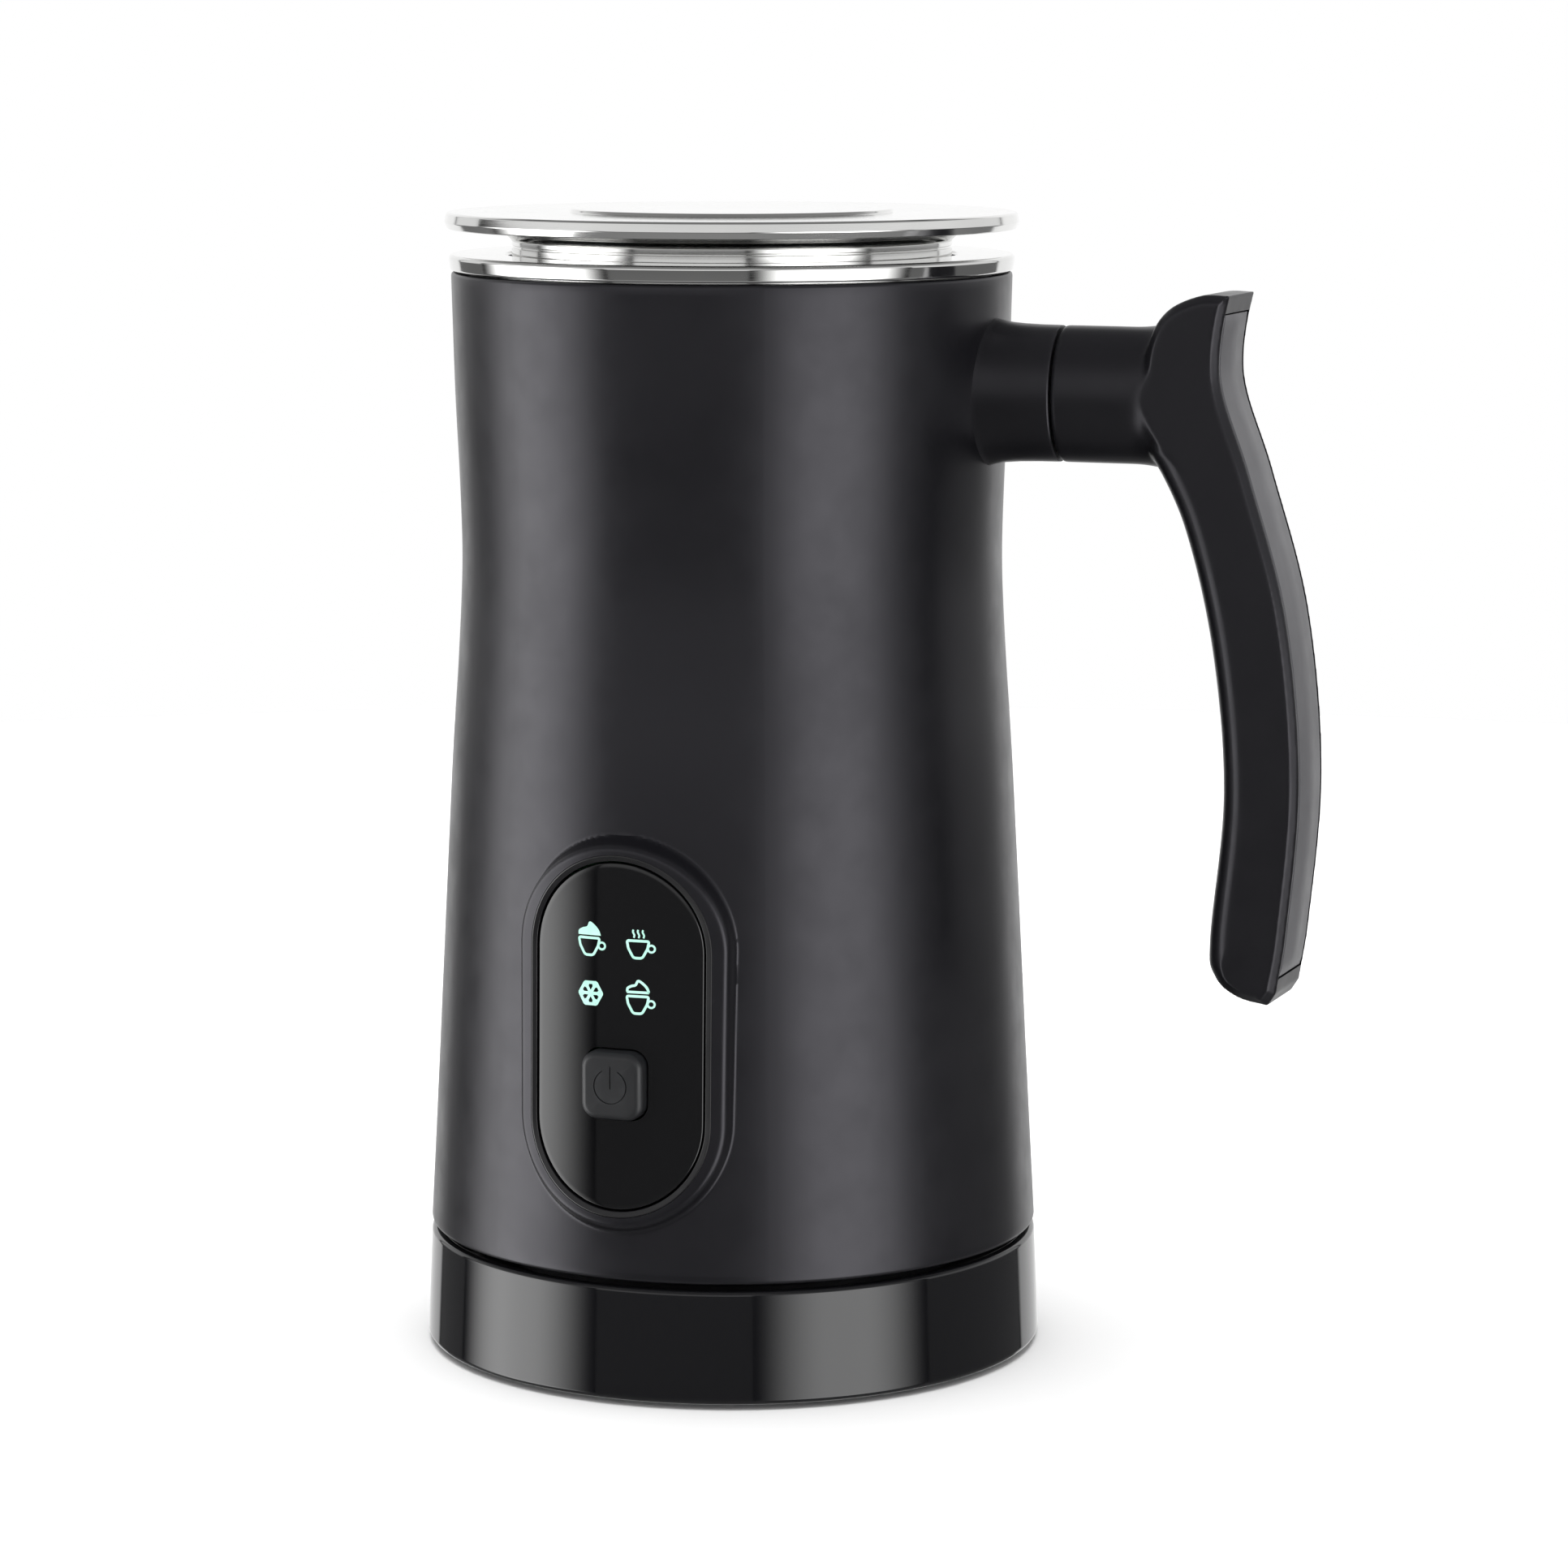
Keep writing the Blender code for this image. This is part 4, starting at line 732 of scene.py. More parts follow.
# ---- Rim, cup and lid ----
def build_rim_and_cup():
    turned("rim_ring", "chrome", "jug", True, 256, [
        (44.4, 182.3, 0.1), (47.05, 182.3, 0.5), (47.4, 185.0, 0.7), (37.6, 185.0, 0.6),
        (37.6, 183.5, 0.2), (42.9, 183.5, 0.2), (42.9, 177.0, 0.3), (44.4, 177.0, 0.3),
    ])

    inner_wall = [(37.3, 182.8, 0.3)]
    for level in (150.0, 122.0):
        inner_wall += [
            (37.3, level + 0.5, 0.1), (37.45, level + 0.2, 0.1), (37.45, level - 0.2, 0.1),
            (37.3, level - 0.5, 0.1),
        ]
    turned("inner_cup", "cup", "jug", False, 256, [
        (0, 75.2, 0), (38.1, 75.2, 6.0), (38.1, 182.3, 0.2), (42.5, 182.3, 0.2),
        (42.5, 183.1, 0.3), (37.6, 183.1, 0.3), *inner_wall, (37.3, 76.0, 5.2),
        (21.5, 76.0, 0.3), (21.0, 76.2, 0.2), (20.0, 76.2, 0.2), (19.5, 76.0, 0.3),
        (0, 76.0, 0),
    ], steps=8)
    turned("whisk_pivot_pin", "zinc", "jug", False, 48, [
        (0, 76.3, 0), (4.0, 76.3, 0.1), (4.0, 77.1, 0.4), (1.5, 77.5, 0.4), (1.5, 88.0, 1.0),
        (0, 88.0, 0),
    ])


def build_lid():
    turned("lid_cap", "lid", "lid", False, 256, [
        (0, 192.5, 0), (26.8, 192.5, 0.35), (27.1, 191.95, 0.3), (47.3, 191.95, 0.3),
        (47.72, 191.7, 0.3), (48.0, 190.3, 0.35), (47.5, 189.2, 0.3), (43.5, 189.0, 1.0),
        (37.9, 188.3, 0.8), (36.8, 187.3, 0.6), (36.8, 186.5, 0.08), (36.6, 186.35, 0.05),
        (36.6, 186.15, 0.05), (36.8, 186.0, 0.08), (36.8, 182.0, 0.2), (35.6, 182.0, 0.1),
        (35.6, 178.0, 0.1), (36.8, 178.0, 0.2), (36.8, 175.0, 0.7), (34.4, 175.0, 0.4),
        (34.0, 186.0, 0.8), (32.2, 188.8, 1.5), (0, 189.6, 0),
    ])
    turned("lid_seal", "silicone", "lid", True, 192, [
        (35.95, 178.4, 0.1), (36.7, 178.4, 0.2), (37.0, 179.0, 0.15), (36.75, 179.5, 0.1),
        (37.0, 180.0, 0.15), (36.75, 180.5, 0.1), (37.0, 181.0, 0.15), (36.7, 181.6, 0.2),
        (35.95, 181.6, 0.1),
    ], steps=4)


# ---- Whisk ----
def build_whisk():
    hub = lathe("whisk_hub_fine", [
        (3.2, 78.4, 0.2), (14.0, 78.4, 0.4), (14.4, 79.4, 0.2), (13.9, 80.9, 0.8),
        (14.4, 82.5, 0.2), (14.1, 83.4, 0.3), (8.6, 83.4, 0.2), (8.6, 80.0, 0.1),
        (4.4, 80.0, 0.1), (4.4, 83.4, 0.1), (3.2, 83.4, 0.1),
    ], True, 96)
    for x, y in around(6, 11.4, 0):
        boolean(hub, upright("window", 1.9, 76.0, 86.0, (x, y)))
    dress(hub, "handle", "whisk", "whisk_hub")
    turned("whisk_cap", "handle", "whisk", False, 96, [
        (0, 88.9, 0), (3.2, 88.7, 0.4), (3.2, 83.8, 0.2), (9.2, 83.8, 0.2), (9.2, 85.0, 0.6),
        (5.4, 86.6, 1.2), (4.4, 91.0, 1.0), (5.0, 92.6, 0.9), (4.4, 94.0, 1.1), (0, 94.0, 0),
    ])

    turns, steps, sides = 46, 16, 8
    wire_radius, loop_radius, ring_radius, level = 0.42, 1.86, 17.0, 81.0
    rings = []
    for i in range(turns * steps):
        spin = 2 * math.pi * i / steps
        angle = 2 * math.pi * i / (turns * steps)
        outward = Vector((math.cos(angle), math.sin(angle), 0))
        forward = Vector((-math.sin(angle), math.cos(angle), 0))
        normal = outward * math.cos(spin) + Vector((0, 0, 1)) * math.sin(spin)
        centre = outward * ring_radius + Vector((0, 0, level)) + normal * loop_radius
        rate = ring_radius / (loop_radius * turns)
        tangent = Vector((0, 0, 1)) * math.cos(spin) - outward * math.sin(spin)
        tangent = (tangent + forward * rate).normalized()
        side = tangent.cross(normal).normalized()
        ring = []
        for k in range(sides):
            turn = 2 * math.pi * k / sides
            ring.append(centre + (normal * math.cos(turn) + side * math.sin(turn)) * wire_radius)
        rings.append(ring)
    coil = mesh_object("whisk_coil_fine", *stitch(rings, closed_across=True))
    dress(coil, "chrome", "whisk", "whisk_coil")


# ---- Control panel ----
def on_face(x, z, lift):
    """Point of the panel's face at (x, z), lifted off it."""
    radius = face_radius(z) + lift
    return (x, -math.sqrt(max(radius * radius - x * x, 0.0)), z)


def face_ring(margin, lift):
    return [on_face(x, z, lift) for x, z in capsule(margin)]


def build_panel():
    bezel_path = round_corners([
        (BEZEL_INNER, -2.3, 0.1), (BEZEL_OUTER, -2.3, 0.1), (BEZEL_OUTER, -0.04, 0.06),
        (BEZEL_OUTER - 0.2, 0.0, 0.1), (BEZEL_INNER, -0.3, 0.2),
    ], True, 4)
    bezel = mesh_object(
        "panel_bezel_fine",
        *stitch([face_ring(margin, lift) for margin, lift in bezel_path], closed_across=True),
    )
    dress(bezel, "bezel", "jug", "panel_bezel")

    lens_path = [(-14.3, -1.7), (-8.0, -1.7), (-0.2, -1.7), (0.0, -1.5), (0.0, -0.65)]
    lens_path += [(-0.08, -0.48), (-0.25, -0.4)]
    lens_path += [(-0.25 - 14.05 * i / 22, -0.4) for i in range(1, 23)]
    lens = mesh_object("panel_lens_fine", *stitch([face_ring(m, lift) for m, lift in lens_path]))
    hole = rounded_rectangle(BUTTON_HALF[0] + FIT, BUTTON_HALF[1] + FIT, 2.9)
    boolean(lens, prism_y("hole", [(x, z + BUTTON_Z) for x, z in hole], -60, -40))
    dress(lens, "lens", "jug", "panel_lens")


def build_button():
    """Rounded square cap with a soft edge, a slight crown and an engraved power symbol."""
    levels = [(0.0, 5.3), (0.0, 1.15)]
    radius = 1.15
    for i in range(1, 9):
        angle = 0.5 * math.pi * i / 8
        levels.append((radius * (1 - math.cos(angle)), radius * (1 - math.sin(angle))))
    levels += [(2.4, -0.03), (4.0, -0.07)]
    rings = []
    for inset, depth in levels:
        outline = rounded_rectangle(
            BUTTON_HALF[0] - inset, BUTTON_HALF[1] - inset, max(2.7 - inset, 0.9)
        )
        front = BUTTON_FRONT_Y + 0.08
        rings.append([(x, front + depth, z + BUTTON_Z) for x, z in outline])
    button = mesh_object("power_button_fine", *stitch(rings))
    stem = [(0, -50.0, 0), (2.1, -50.0, 0), (2.1, -46.6, 0.3), (0, -46.6, 0)]
    stem = lathe("stem", stem, False, 32, 4, "Y", (0, 0, BUTTON_Z))
    boolean(button, stem, "UNION")
    for outline in power_symbol():
        groove = [(x, z + BUTTON_Z) for x, z in outline]
        boolean(button, prism_y("groove", groove, BUTTON_FRONT_Y - 1, BUTTON_FRONT_Y + 0.24))
    dress(button, "button", "power_button", "power_button", sharp=30)


def power_symbol():
    """Outlines of the open ring and the bar."""
    radius, half, gap = 2.8, 0.1, 28
    steps = 48
    start, end = math.radians(90 + gap), math.radians(450 - gap)
    angles = [start + (end - start) * i / steps for i in range(steps + 1)]
    outer = [((radius + half) * math.cos(a), (radius + half) * math.sin(a)) for a in angles]
    inner = [((radius - half) * math.cos(a), (radius - half) * math.sin(a)) for a in angles]
    bar = [(-half, -0.4), (half, -0.4), (half, 3.3), (-half, 3.3)]
    return [outer + inner[::-1], bar]


# ---- Symbols on the panel ----
SYMBOL_LIFT = -0.36
SYMBOL_DEPTH = 0.25


def band(points, width, closed):
    """Stroke of a width along points, as left and right edge points."""
    count = len(points)
    left, right = [], []
    for i, (x, z) in enumerate(points):
        before = points[i - 1] if (closed or i) else points[i]
        after = points[(i + 1) % count] if (closed or i < count - 1) else points[i]
        run = Vector((after[0] - before[0], after[1] - before[1])).normalized()
        left.append((x - run.y * width / 2, z + run.x * width / 2))
        right.append((x + run.y * width / 2, z - run.x * width / 2))
    return left, right


def add_stroke(points, faces, path, width, closed, centre):
    """Add a raised stroke that follows the panel's face."""
    left, right = band(path, width, closed)
    count = len(path)
    first = len(points)
    rows = ((left, 0.0), (right, 0.0), (right, -SYMBOL_DEPTH), (left, -SYMBOL_DEPTH))
    for edge, drop in rows:
        points += [on_face(x + centre[0], z + centre[1], SYMBOL_LIFT + drop) for x, z in edge]
    spans = range(count) if closed else range(count - 1)
    for i in spans:
        j = (i + 1) % count
        for k in range(4):
            n = (k + 1) % 4
            a, b = first + k * count, first + n * count
            faces.append((a + i, a + j, b + j, b + i))
    if not closed:
        for i in (0, count - 1):
            faces.append(tuple(first + k * count + i for k in range(4)))


def add_solid(points, faces, outline, centre):
    """Add a raised filled shape, as a fan from its middle."""
    middle = np.mean(np.array(outline), axis=0)
    count = len(outline)
    for drop in (0.0, -SYMBOL_DEPTH):
        first = len(points)
        for share in (1.0, 0.5):
            for x, z in outline:
                px, pz = middle + (np.array((x, z)) - middle) * share
                points.append(on_face(px + centre[0], pz + centre[1], SYMBOL_LIFT + drop))
        points.append(on_face(middle[0] + centre[0], middle[1] + centre[1], SYMBOL_LIFT + drop))
        for i in range(count):
            j = (i + 1) % count
            faces.append((first + i, first + j, first + count + j, first + count + i))
            faces.append((first + count + i, first + count + j, first + 2 * count))
    top, bottom = len(points) - 2 * (2 * count + 1), len(points) - (2 * count + 1)
    for i in range(count):
        j = (i + 1) % count
        faces.append((top + i, top + j, bottom + j, bottom + i))


def cup_paths():
    """Bowl and ear of a cup whose brim lies on the x axis."""
    bowl = round_corners([
        (-1.88, -0.2, 0.25), (-1.62, -1.45, 1.2), (-0.75, -3.0, 0.7), (0.75, -3.0, 0.7),
        (1.62, -1.45, 1.2), (1.88, -0.2, 0.25),
    ], True, 5)
    steps = 20
    angles = [2 * math.pi * i / steps for i in range(steps)]
    ear = [(2.28 + 0.58 * math.cos(a), -1.4 + 0.56 * math.sin(a)) for a in angles]
    return bowl, ear


def foam_outline():
    """Swirl of foam with a bent tip, flat underneath."""
    return catmull([
        (-1.95, 0.25), (-1.9, 0.95), (-1.2, 1.4), (-0.4, 1.65), (0.08, 2.45), (0.95, 2.0),
        (1.75, 1.15), (2.1, 0.25),
    ], 5)


def build_symbols():
    shapes = {
        "symbol_foam_cup": (-4.8, 77.15),
        "symbol_steam_cup": (3.75, 77.15),
        "symbol_snowflake": (-4.5, 67.9),
        "symbol_foam_line_cup": (3.75, 68.1),
    }
    for name, centre in shapes.items():
        points, faces = [], []
        if name == "symbol_snowflake":
            snowflake(points, faces, centre)
        else:
            bowl, ear = cup_paths()
            add_stroke(points, faces, bowl, 0.42, True, centre)
            add_stroke(points, faces, ear, 0.34, True, centre)
        if name == "symbol_foam_cup":
            add_solid(points, faces, foam_outline(), centre)
        if name == "symbol_foam_line_cup":
            inner = [(0.9 * x, 1.1 + 0.84 * (z - 1.0)) for x, z in foam_outline()]
            add_stroke(points, faces, inner, 0.42, True, centre)
        if name == "symbol_steam_cup":
            for x in (-0.72, 0.1, 0.92):
                wave = [(x + 0.13 * math.sin(4.6 * t), 0.3 + t) for t in np.linspace(0, 1.3, 14)]
                add_stroke(points, faces, wave, 0.3, False, centre)
        symbol = mesh_object(name, points, faces)
        dress(symbol, "symbol", "jug", sharp=30, weighted=False)


def snowflake(points, faces, centre):
    """Six spokes from a hub to the corners of a hexagon, with side twigs."""
    for k in range(6):
        angle = math.radians(60 * k)
        along = np.array((math.cos(angle), math.sin(angle)))
        across = np.array((-along[1], along[0]))
        spoke = [along * t for t in np.linspace(0.1, 2.2, 8)]
        add_stroke(points, faces, spoke, 0.5, False, centre)
        for side in (-1, 1):
            start = along * 1.15
            twig = [start + (along * 0.55 + across * side * 0.5) * t for t in np.linspace(0, 1, 4)]
            add_stroke(points, faces, twig, 0.34, False, centre)
    corners = list(around(6, 2.02, 0))
    ring = []
    for (x0, z0), (x1, z1) in zip(corners, corners[1:] + corners[:1]):
        ring += [(x0 + (x1 - x0) * t, z0 + (z1 - z0) * t) for t in (0.04, 0.35, 0.65, 0.96)]
    add_stroke(points, faces, ring, 0.5, True, centre)
    add_solid(points, faces, list(around(12, 0.6, 0)), centre)


# ---- Handle ----
OUTER_EDGE = [
    (88.6, 180.0), (87.3, 166.6), (92.4, 150.8), (98.7, 128.5), (101.4, 101.9), (99.6, 77.0),
    (97.9, 66.8),
]
INNER_EDGE = [
    (96.5, 64.7), (91.2, 65.9), (87.2, 69.0), (85.9, 75.0), (87.9, 99.0), (85.7, 122.5),
    (80.8, 142.2), (75.0, 154.0),
]
THUMB_REST = [(73.8, 163.0), (75.0, 172.0), (78.0, 177.2), (83.6, 179.8), (88.6, 180.0)]
EDGE_STEPS = 14
GRIP_SPACING = 0.9
GRIP_VOXEL = 0.32
GROOVE_HALF_WIDTH = 7.05
STRIP_TOP_Z = 176.6
STRIP_BOTTOM_Z = 69.5
RING_POINTS = 128


def build_collar():
    """Flared stub between shell and arm; its inner end follows the shell."""
    stations = [(0.0, 1.35), (0.03, 1.0), (0.10, 0.72), (0.25, 0.38), (0.45, 0.16), (0.7, 0.04)]
    stations += [(0.95, 0.0), (0.985, -0.03), (1.0, -0.3)]
    rings = []
    for share, flare in stations:
        ring = []
        for i in range(RING_POINTS):
            angle = 2 * math.pi * i / RING_POINTS
            y = (ARM_HALF_WIDTH + 0.7 * flare) * math.cos(angle)
            z = ARM_Z + (ARM_HALF_HEIGHT + flare * 0.9) * math.sin(angle)
            start = math.sqrt((shell_radius(z) - 0.3) ** 2 - y * y)
            ring.append((start + (SEAM_X - start) * share, y, z))
        rings.append(ring)
    collar = mesh_object("handle_collar_fine", *stitch(rings))
    dress(collar, "handle", "jug", "handle_collar")


def widened(values, reach):
    """Values round a closed outline, averaged over their neighbours."""
    values = np.array(values, float)
    wrapped = np.concatenate([values[-reach:], values, values[:reach]])
    return np.convolve(wrapped, np.ones(2 * reach + 1) / (2 * reach + 1), mode="valid")


def smooth_step(low, high, value):
    t = min(1.0, max(0.0, (value - low) / (high - low)))
    return t * t * (3 - 2 * t)


def evenly(curve, spacing):
    """The same path at an even spacing."""
    curve = np.array(curve)
    along = np.concatenate([[0.0], np.cumsum(np.linalg.norm(np.diff(curve, axis=0), axis=1))])
    spots = np.linspace(0.0, along[-1], round(along[-1] / spacing) + 1)
    return list(np.stack([np.interp(spots, along, curve[:, i]) for i in (0, 1)], axis=1))


def grip_body():
    """Grip as a stack of outlines: round towards the jug, chamfered round the inlay."""
    outer = evenly(catmull(OUTER_EDGE, EDGE_STEPS), GRIP_SPACING)
    inner = evenly(catmull(INNER_EDGE, EDGE_STEPS), GRIP_SPACING)
    top = evenly(catmull(THUMB_REST, 10), GRIP_SPACING)
    outline = outer + inner + top[:-1]
    rounded = [smooth_step(67.0, 75.0, point[1]) for point in inner]
    ends = len(top) - 1
    sunk = widened([STRIP_PROUD] * len(outer) + [0.0] * (len(inner) + ends), 4)
    soft = [1.5 + 2.9 * r for r in rounded]
    inset = widened([1.1] * len(outer) + soft + [1.3] * ends, 4)
    drop = widened([1.3] * len(outer) + soft + [1.4] * ends, 4)
    roundness = widened([0.0] * len(outer) + rounded + [0.2] * ends, 4)
    count = len(outline)
    runs = np.array([outline[(i + 2) % count] - outline[i - 2] for i in range(count)])
    runs = np.stack([widened(runs[:, 0], 2), widened(runs[:, 1], 2)], axis=1)
    runs /= np.linalg.norm(runs, axis=1)[:, None]
    normals = [np.array((run[1], -run[0])) for run in runs]
    shares = [i / 8 for i in range(9)]
    rings = []
    for share, side in [(s, -1) for s in shares] + [(s, 1) for s in reversed(shares)]:
        angle = 0.5 * math.pi * share
        ring = []
        for i, point in enumerate(outline):
            round_in, round_out = 1 - math.sin(angle), 1 - math.cos(angle)
            bevel = 1 - roundness[i]
            depth = sunk[i] + inset[i] * (roundness[i] * round_in + bevel * (1 - share))
            y = HANDLE_HALF_WIDTH - drop[i] * (roundness[i] * round_out + bevel * share)
            spot = point + normals[i] * depth
            ring.append((spot[0], side * y, spot[1]))
        rings.append(ring)
    return stitch(rings)


def build_handle():
    points, faces = grip_body()
    arm_rings = []
    for x in np.linspace(SEAM_X + FIT, 81.0, 40):
        flare = max(0.0, (x - 70.7) / 9.0)
        half_width = ARM_HALF_WIDTH + 6.8 * flare ** 3
        half_height = ARM_HALF_HEIGHT + 1.6 * flare ** 2
        edge = 0.35 * max(0.0, 1.0 - (x - SEAM_X - FIT) / 0.4) ** 2
        ring = []
        for i in range(RING_POINTS):
            angle = 2 * math.pi * i / RING_POINTS
            y = (half_width - edge) * math.cos(angle)
            y = max(-HANDLE_HALF_WIDTH, min(HANDLE_HALF_WIDTH, y))
            ring.append((x, y, ARM_Z + (half_height - edge) * math.sin(angle)))
        arm_rings.append(ring)
    grip = mesh_object("handle_body_fine", points, faces)
    arm = mesh_object("arm", *stitch(arm_rings))
    boolean(grip, arm, "UNION")
    remesh = grip.modifiers.new("remesh", "REMESH")
    remesh.mode = "VOXEL"
    remesh.voxel_size = GRIP_VOXEL * MM
    apply_modifiers(grip)
    soften_junction(grip)
    groove = strip_outline(STRIP_THICKNESS + FIT, -1.2, 0.3)
    boolean(grip, prism_y("groove", groove, -GROOVE_HALF_WIDTH, GROOVE_HALF_WIDTH))
    dress(grip, "handle", "jug", "handle_body", sharp=40, weighted=False)


def soften_junction(grip):
    """Relax the fold between arm and grip, and take the voxel steps off the rest."""
    everywhere = grip.modifiers.new("relax", "SMOOTH")
    everywhere.factor = 0.5
    everywhere.iterations = 3
    group = grip.vertex_groups.new(name="fold")
    for vertex in grip.data.vertices:
        x, z = vertex.co.x / MM, vertex.co.z / MM
        near = 1.0 - min(1.0, max(abs(x - 75.0) / 8.0, abs(z - ARM_Z) / 16.0))
        if near > 0 and x > SEAM_X + 4:
            group.add([vertex.index], min(1.0, 2.5 * near), "REPLACE")
    fold = grip.modifiers.new("fold", "SMOOTH")
    fold.vertex_group = group.name
    fold.factor = 0.5
    fold.iterations = 14
    apply_modifiers(grip)


def edge_normals(curve):
    """Unit normals along an open curve."""
    normals = []
    last = len(curve) - 1
    for i in range(len(curve)):
        run = curve[min(i + 1, last)] - curve[max(i - 1, 0)]
        run = run / np.linalg.norm(run)
        normals.append(np.array((run[1], -run[0])))
    return normals


def strip_outline(depth, front, extra):
    """Band on the grip's outer side between two depths, grown at its ends."""
    curve = strip_curve(extra)
    normals = edge_normals(curve)
    near = [tuple(p + n * front) for p, n in zip(curve, normals)]
    far = [tuple(p + n * depth) for p, n in zip(curve, normals)]
    return near + far[::-1]


def edge_at(z):
    curve = catmull(OUTER_EDGE, EDGE_STEPS)
    heights = [-p[1] for p in curve]
    return np.array((float(np.interp(-z, heights, [p[0] for p in curve])), z))


def strip_curve(extra):
    """Centre line of the inlay from its upper to its lower end."""
    top, bottom = STRIP_TOP_Z + extra, STRIP_BOTTOM_Z - extra
    between = [p for p in catmull(OUTER_EDGE, EDGE_STEPS) if bottom + 0.4 < p[1] < top - 0.4]
    return evenly([edge_at(top)] + between + [edge_at(bottom)], 1.2)


def build_strip():
    """Inlay of the grip: crowned across, with soft edges."""
    curve = strip_curve(0.0)
    corners = [
        (-STRIP_HALF_WIDTH, STRIP_THICKNESS, 0), (-STRIP_HALF_WIDTH, 0.35, 0.45),
        (0.0, 0.05, 40.0), (STRIP_HALF_WIDTH, 0.35, 0.45), (STRIP_HALF_WIDTH, STRIP_THICKNESS, 0),
    ]
    section = round_corners(corners, False)
    rings = []
    for i, (point, normal) in enumerate(zip(curve, edge_normals(curve))):
        least = 0.45 if i in (0, len(curve) - 1) else 0.0
        spots = [(y, point + normal * max(depth, least)) for y, depth in section]
        rings.append([(spot[0], y, spot[1]) for y, spot in spots])
    strip = mesh_object("handle_strip_fine", *stitch(rings))
    dress(strip, "strip", "jug", "handle_strip")


# ---- Stage: floor, light cards, world, camera ----
FLOOR_RADIUS = 0.8
FLOOR_DROP = 0.00005
WHITE = (1.0, 1.0, 1.0, 1.0)


def build_floor():
    """Round sheet of white paper; reflections look past it, as in a light tent."""
    bpy.ops.mesh.primitive_circle_add(
        vertices=128, radius=FLOOR_RADIUS, fill_type="NGON", location=(0, 0, -FLOOR_DROP)
    )
    floor = bpy.context.object
    floor.name = "floor"
    surface = principled("floor_paper", (0.90, 0.90, 0.90), 0.9, Specular_IOR_Level=0.1)
    vary_roughness(surface, 0.85, 0.95, 400.0)
    floor.data.materials.append(surface)
    floor.visible_glossy = False


def light_card(name, azimuth, distance, width, low, high, strength, soft, top_fade):
    """Upright glowing card that faces the object and fades at its sides and its top."""
    angle = math.radians(azimuth)
    centre = Vector((math.sin(angle) * distance, -math.cos(angle) * distance, (low + high) / 2))
    side = Vector((math.cos(angle), math.sin(angle), 0)) * width / 2
    rise = Vector((0, 0, (high - low) / 2))
    signs = ((-1, -1), (1, -1), (1, 1), (-1, 1))
    mesh = bpy.data.meshes.new(name)
    mesh.from_pydata([centre + side * a + rise * b for a, b in signs], [], [(0, 1, 2, 3)])
    mesh.uv_layers.new(name="UVMap")
    for loop, (a, b) in zip(mesh.uv_layers[0].data, signs):
        loop.uv = ((a + 1) / 2, (b + 1) / 2)
    card = bpy.data.objects.new(name, mesh)
    bpy.context.scene.collection.objects.link(card)
    card.visible_camera = False
    surface = bpy.data.materials.new(name)
    surface.use_nodes = True
    surface.node_tree.nodes.clear()
    uv = node(surface, "ShaderNodeUVMap").outputs[0]
    split = node(surface, "ShaderNodeSeparateXYZ", {0: uv}).outputs
    level = strength
    for axis, start, end in (("X", 0.0, soft), ("X", 1.0, 1.0 - soft), ("Y", 1.0, 1.0 - top_fade)):
        inputs = {"Value": split[axis], "From Min": start, "From Max": end}
        fade = node(surface, "ShaderNodeMapRange", inputs, interpolation_type="SMOOTHSTEP")
        level = maths(surface, "MULTIPLY", fade.outputs["Result"], level)
    glow = node(surface, "ShaderNodeEmission", {"Strength": level})
    node(surface, "ShaderNodeOutputMaterial", {"Surface": glow.outputs[0]})
    mesh.materials.append(surface)


def build_lights():
    light_card("card_left", CAMERA_AZIMUTH - 86, 1.3, 1.80, -0.9, 0.45, 4.3, 0.42, 0.2)
    light_card("card_right", CAMERA_AZIMUTH + 41.5, 1.3, 1.80, -0.9, 0.45, 3.8, 0.42, 0.2)
    light_card("card_back", CAMERA_AZIMUTH + 176, 1.5, 2.6, -0.8, 1.8, 1.05, 0.06, 0.3)
    above = bpy.data.lights.new("ceiling", "AREA")
    above.shape = "SQUARE"
    above.size = 1.6
    above.energy = 38.0
    ceiling = bpy.data.objects.new("ceiling", above)
    ceiling.location = (0.0, 0.0, 1.9)
    ceiling.visible_camera = False
    ceiling.visible_glossy = False
    bpy.context.scene.collection.objects.link(ceiling)


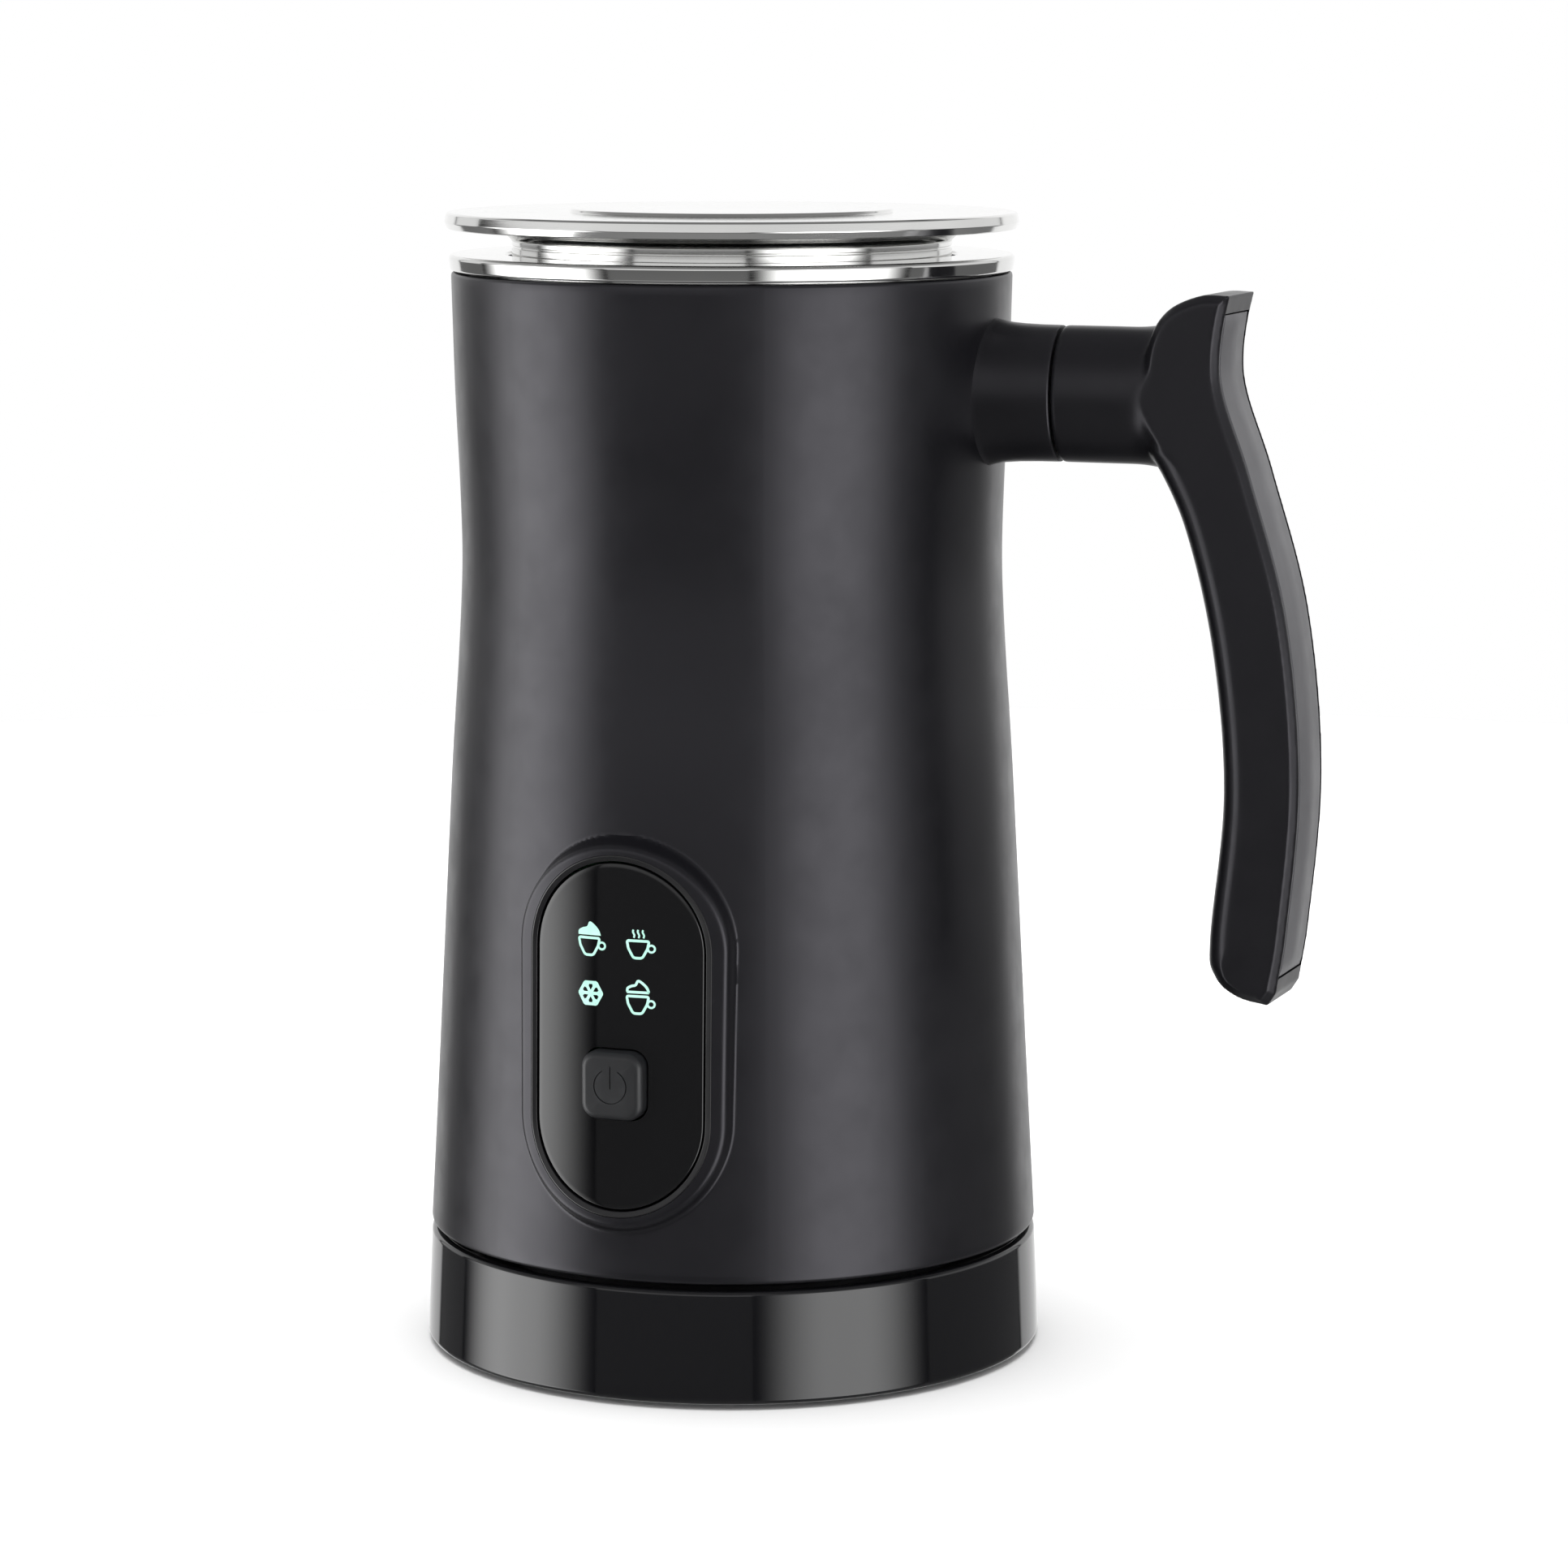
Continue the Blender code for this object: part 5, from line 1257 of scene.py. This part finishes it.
def build_world():
    """White to the camera, a soft fill for matte surfaces; reflections see a pale tent
    above the table and darkness below it."""
    world = bpy.data.worlds.new("studio")
    bpy.context.scene.world = world
    world.use_nodes = True
    world.node_tree.nodes.clear()
    direction = node(world, "ShaderNodeTexCoord").outputs["Generated"]
    height = node(world, "ShaderNodeSeparateXYZ", {0: direction}).outputs["Z"]
    ramp = node(world, "ShaderNodeValToRGB", {0: remap(world, height, 0.0, 1.0, -1.0, 1.0)})
    stops = (
        (0.0, 0.30), (0.25, 0.24), (0.40, 0.14), (0.46, 0.17), (0.49, 0.80), (0.65, 0.95),
        (0.78, 0.30), (1.0, 0.20),
    )
    for position, level in stops[1:-1]:
        ramp.color_ramp.elements.new(position)
    for element, (position, level) in zip(ramp.color_ramp.elements, stops):
        element.position = position
        element.color = (level, level, level, 1.0)
    path = node(world, "ShaderNodeLightPath").outputs
    fill = {"Color": WHITE, "Strength": 0.75}
    shown = node(world, "ShaderNodeBackground", fill).outputs[0]
    for ray, colour in (("Is Glossy Ray", ramp.outputs[0]), ("Is Camera Ray", WHITE)):
        seen = node(world, "ShaderNodeBackground", {"Color": colour, "Strength": 1.0}).outputs[0]
        shown = node(world, "ShaderNodeMixShader", {0: path[ray], 1: shown, 2: seen}).outputs[0]
    node(world, "ShaderNodeOutputWorld", {"Surface": shown})


def build_camera():
    data = bpy.data.cameras.new("camera")
    data.sensor_width = 36.0
    data.lens = CAMERA_LENS
    data.clip_start = 0.01
    data.clip_end = 50.0
    camera = bpy.data.objects.new("camera", data)
    angle = math.radians(CAMERA_AZIMUTH)
    camera.location = (
        CAMERA_DISTANCE * math.sin(angle),
        -CAMERA_DISTANCE * math.cos(angle),
        CAMERA_HEIGHT,
    )
    camera.rotation_euler = (
        math.radians(90 - CAMERA_PITCH),
        0.0,
        math.radians(CAMERA_AZIMUTH - CAMERA_YAW),
    )
    bpy.context.scene.collection.objects.link(camera)
    bpy.context.scene.camera = camera


# ---- Assembly ----
build_camera()
build_world()
build_floor()
build_lights()
paint_cad_nodes()
build_base()
build_socket()
build_connector()
build_shell()
build_rim_and_cup()
build_lid()
build_whisk()
build_panel()
build_button()
build_symbols()
build_collar()
build_handle()
build_strip()
bpy.context.scene.view_settings.view_transform = "Standard"
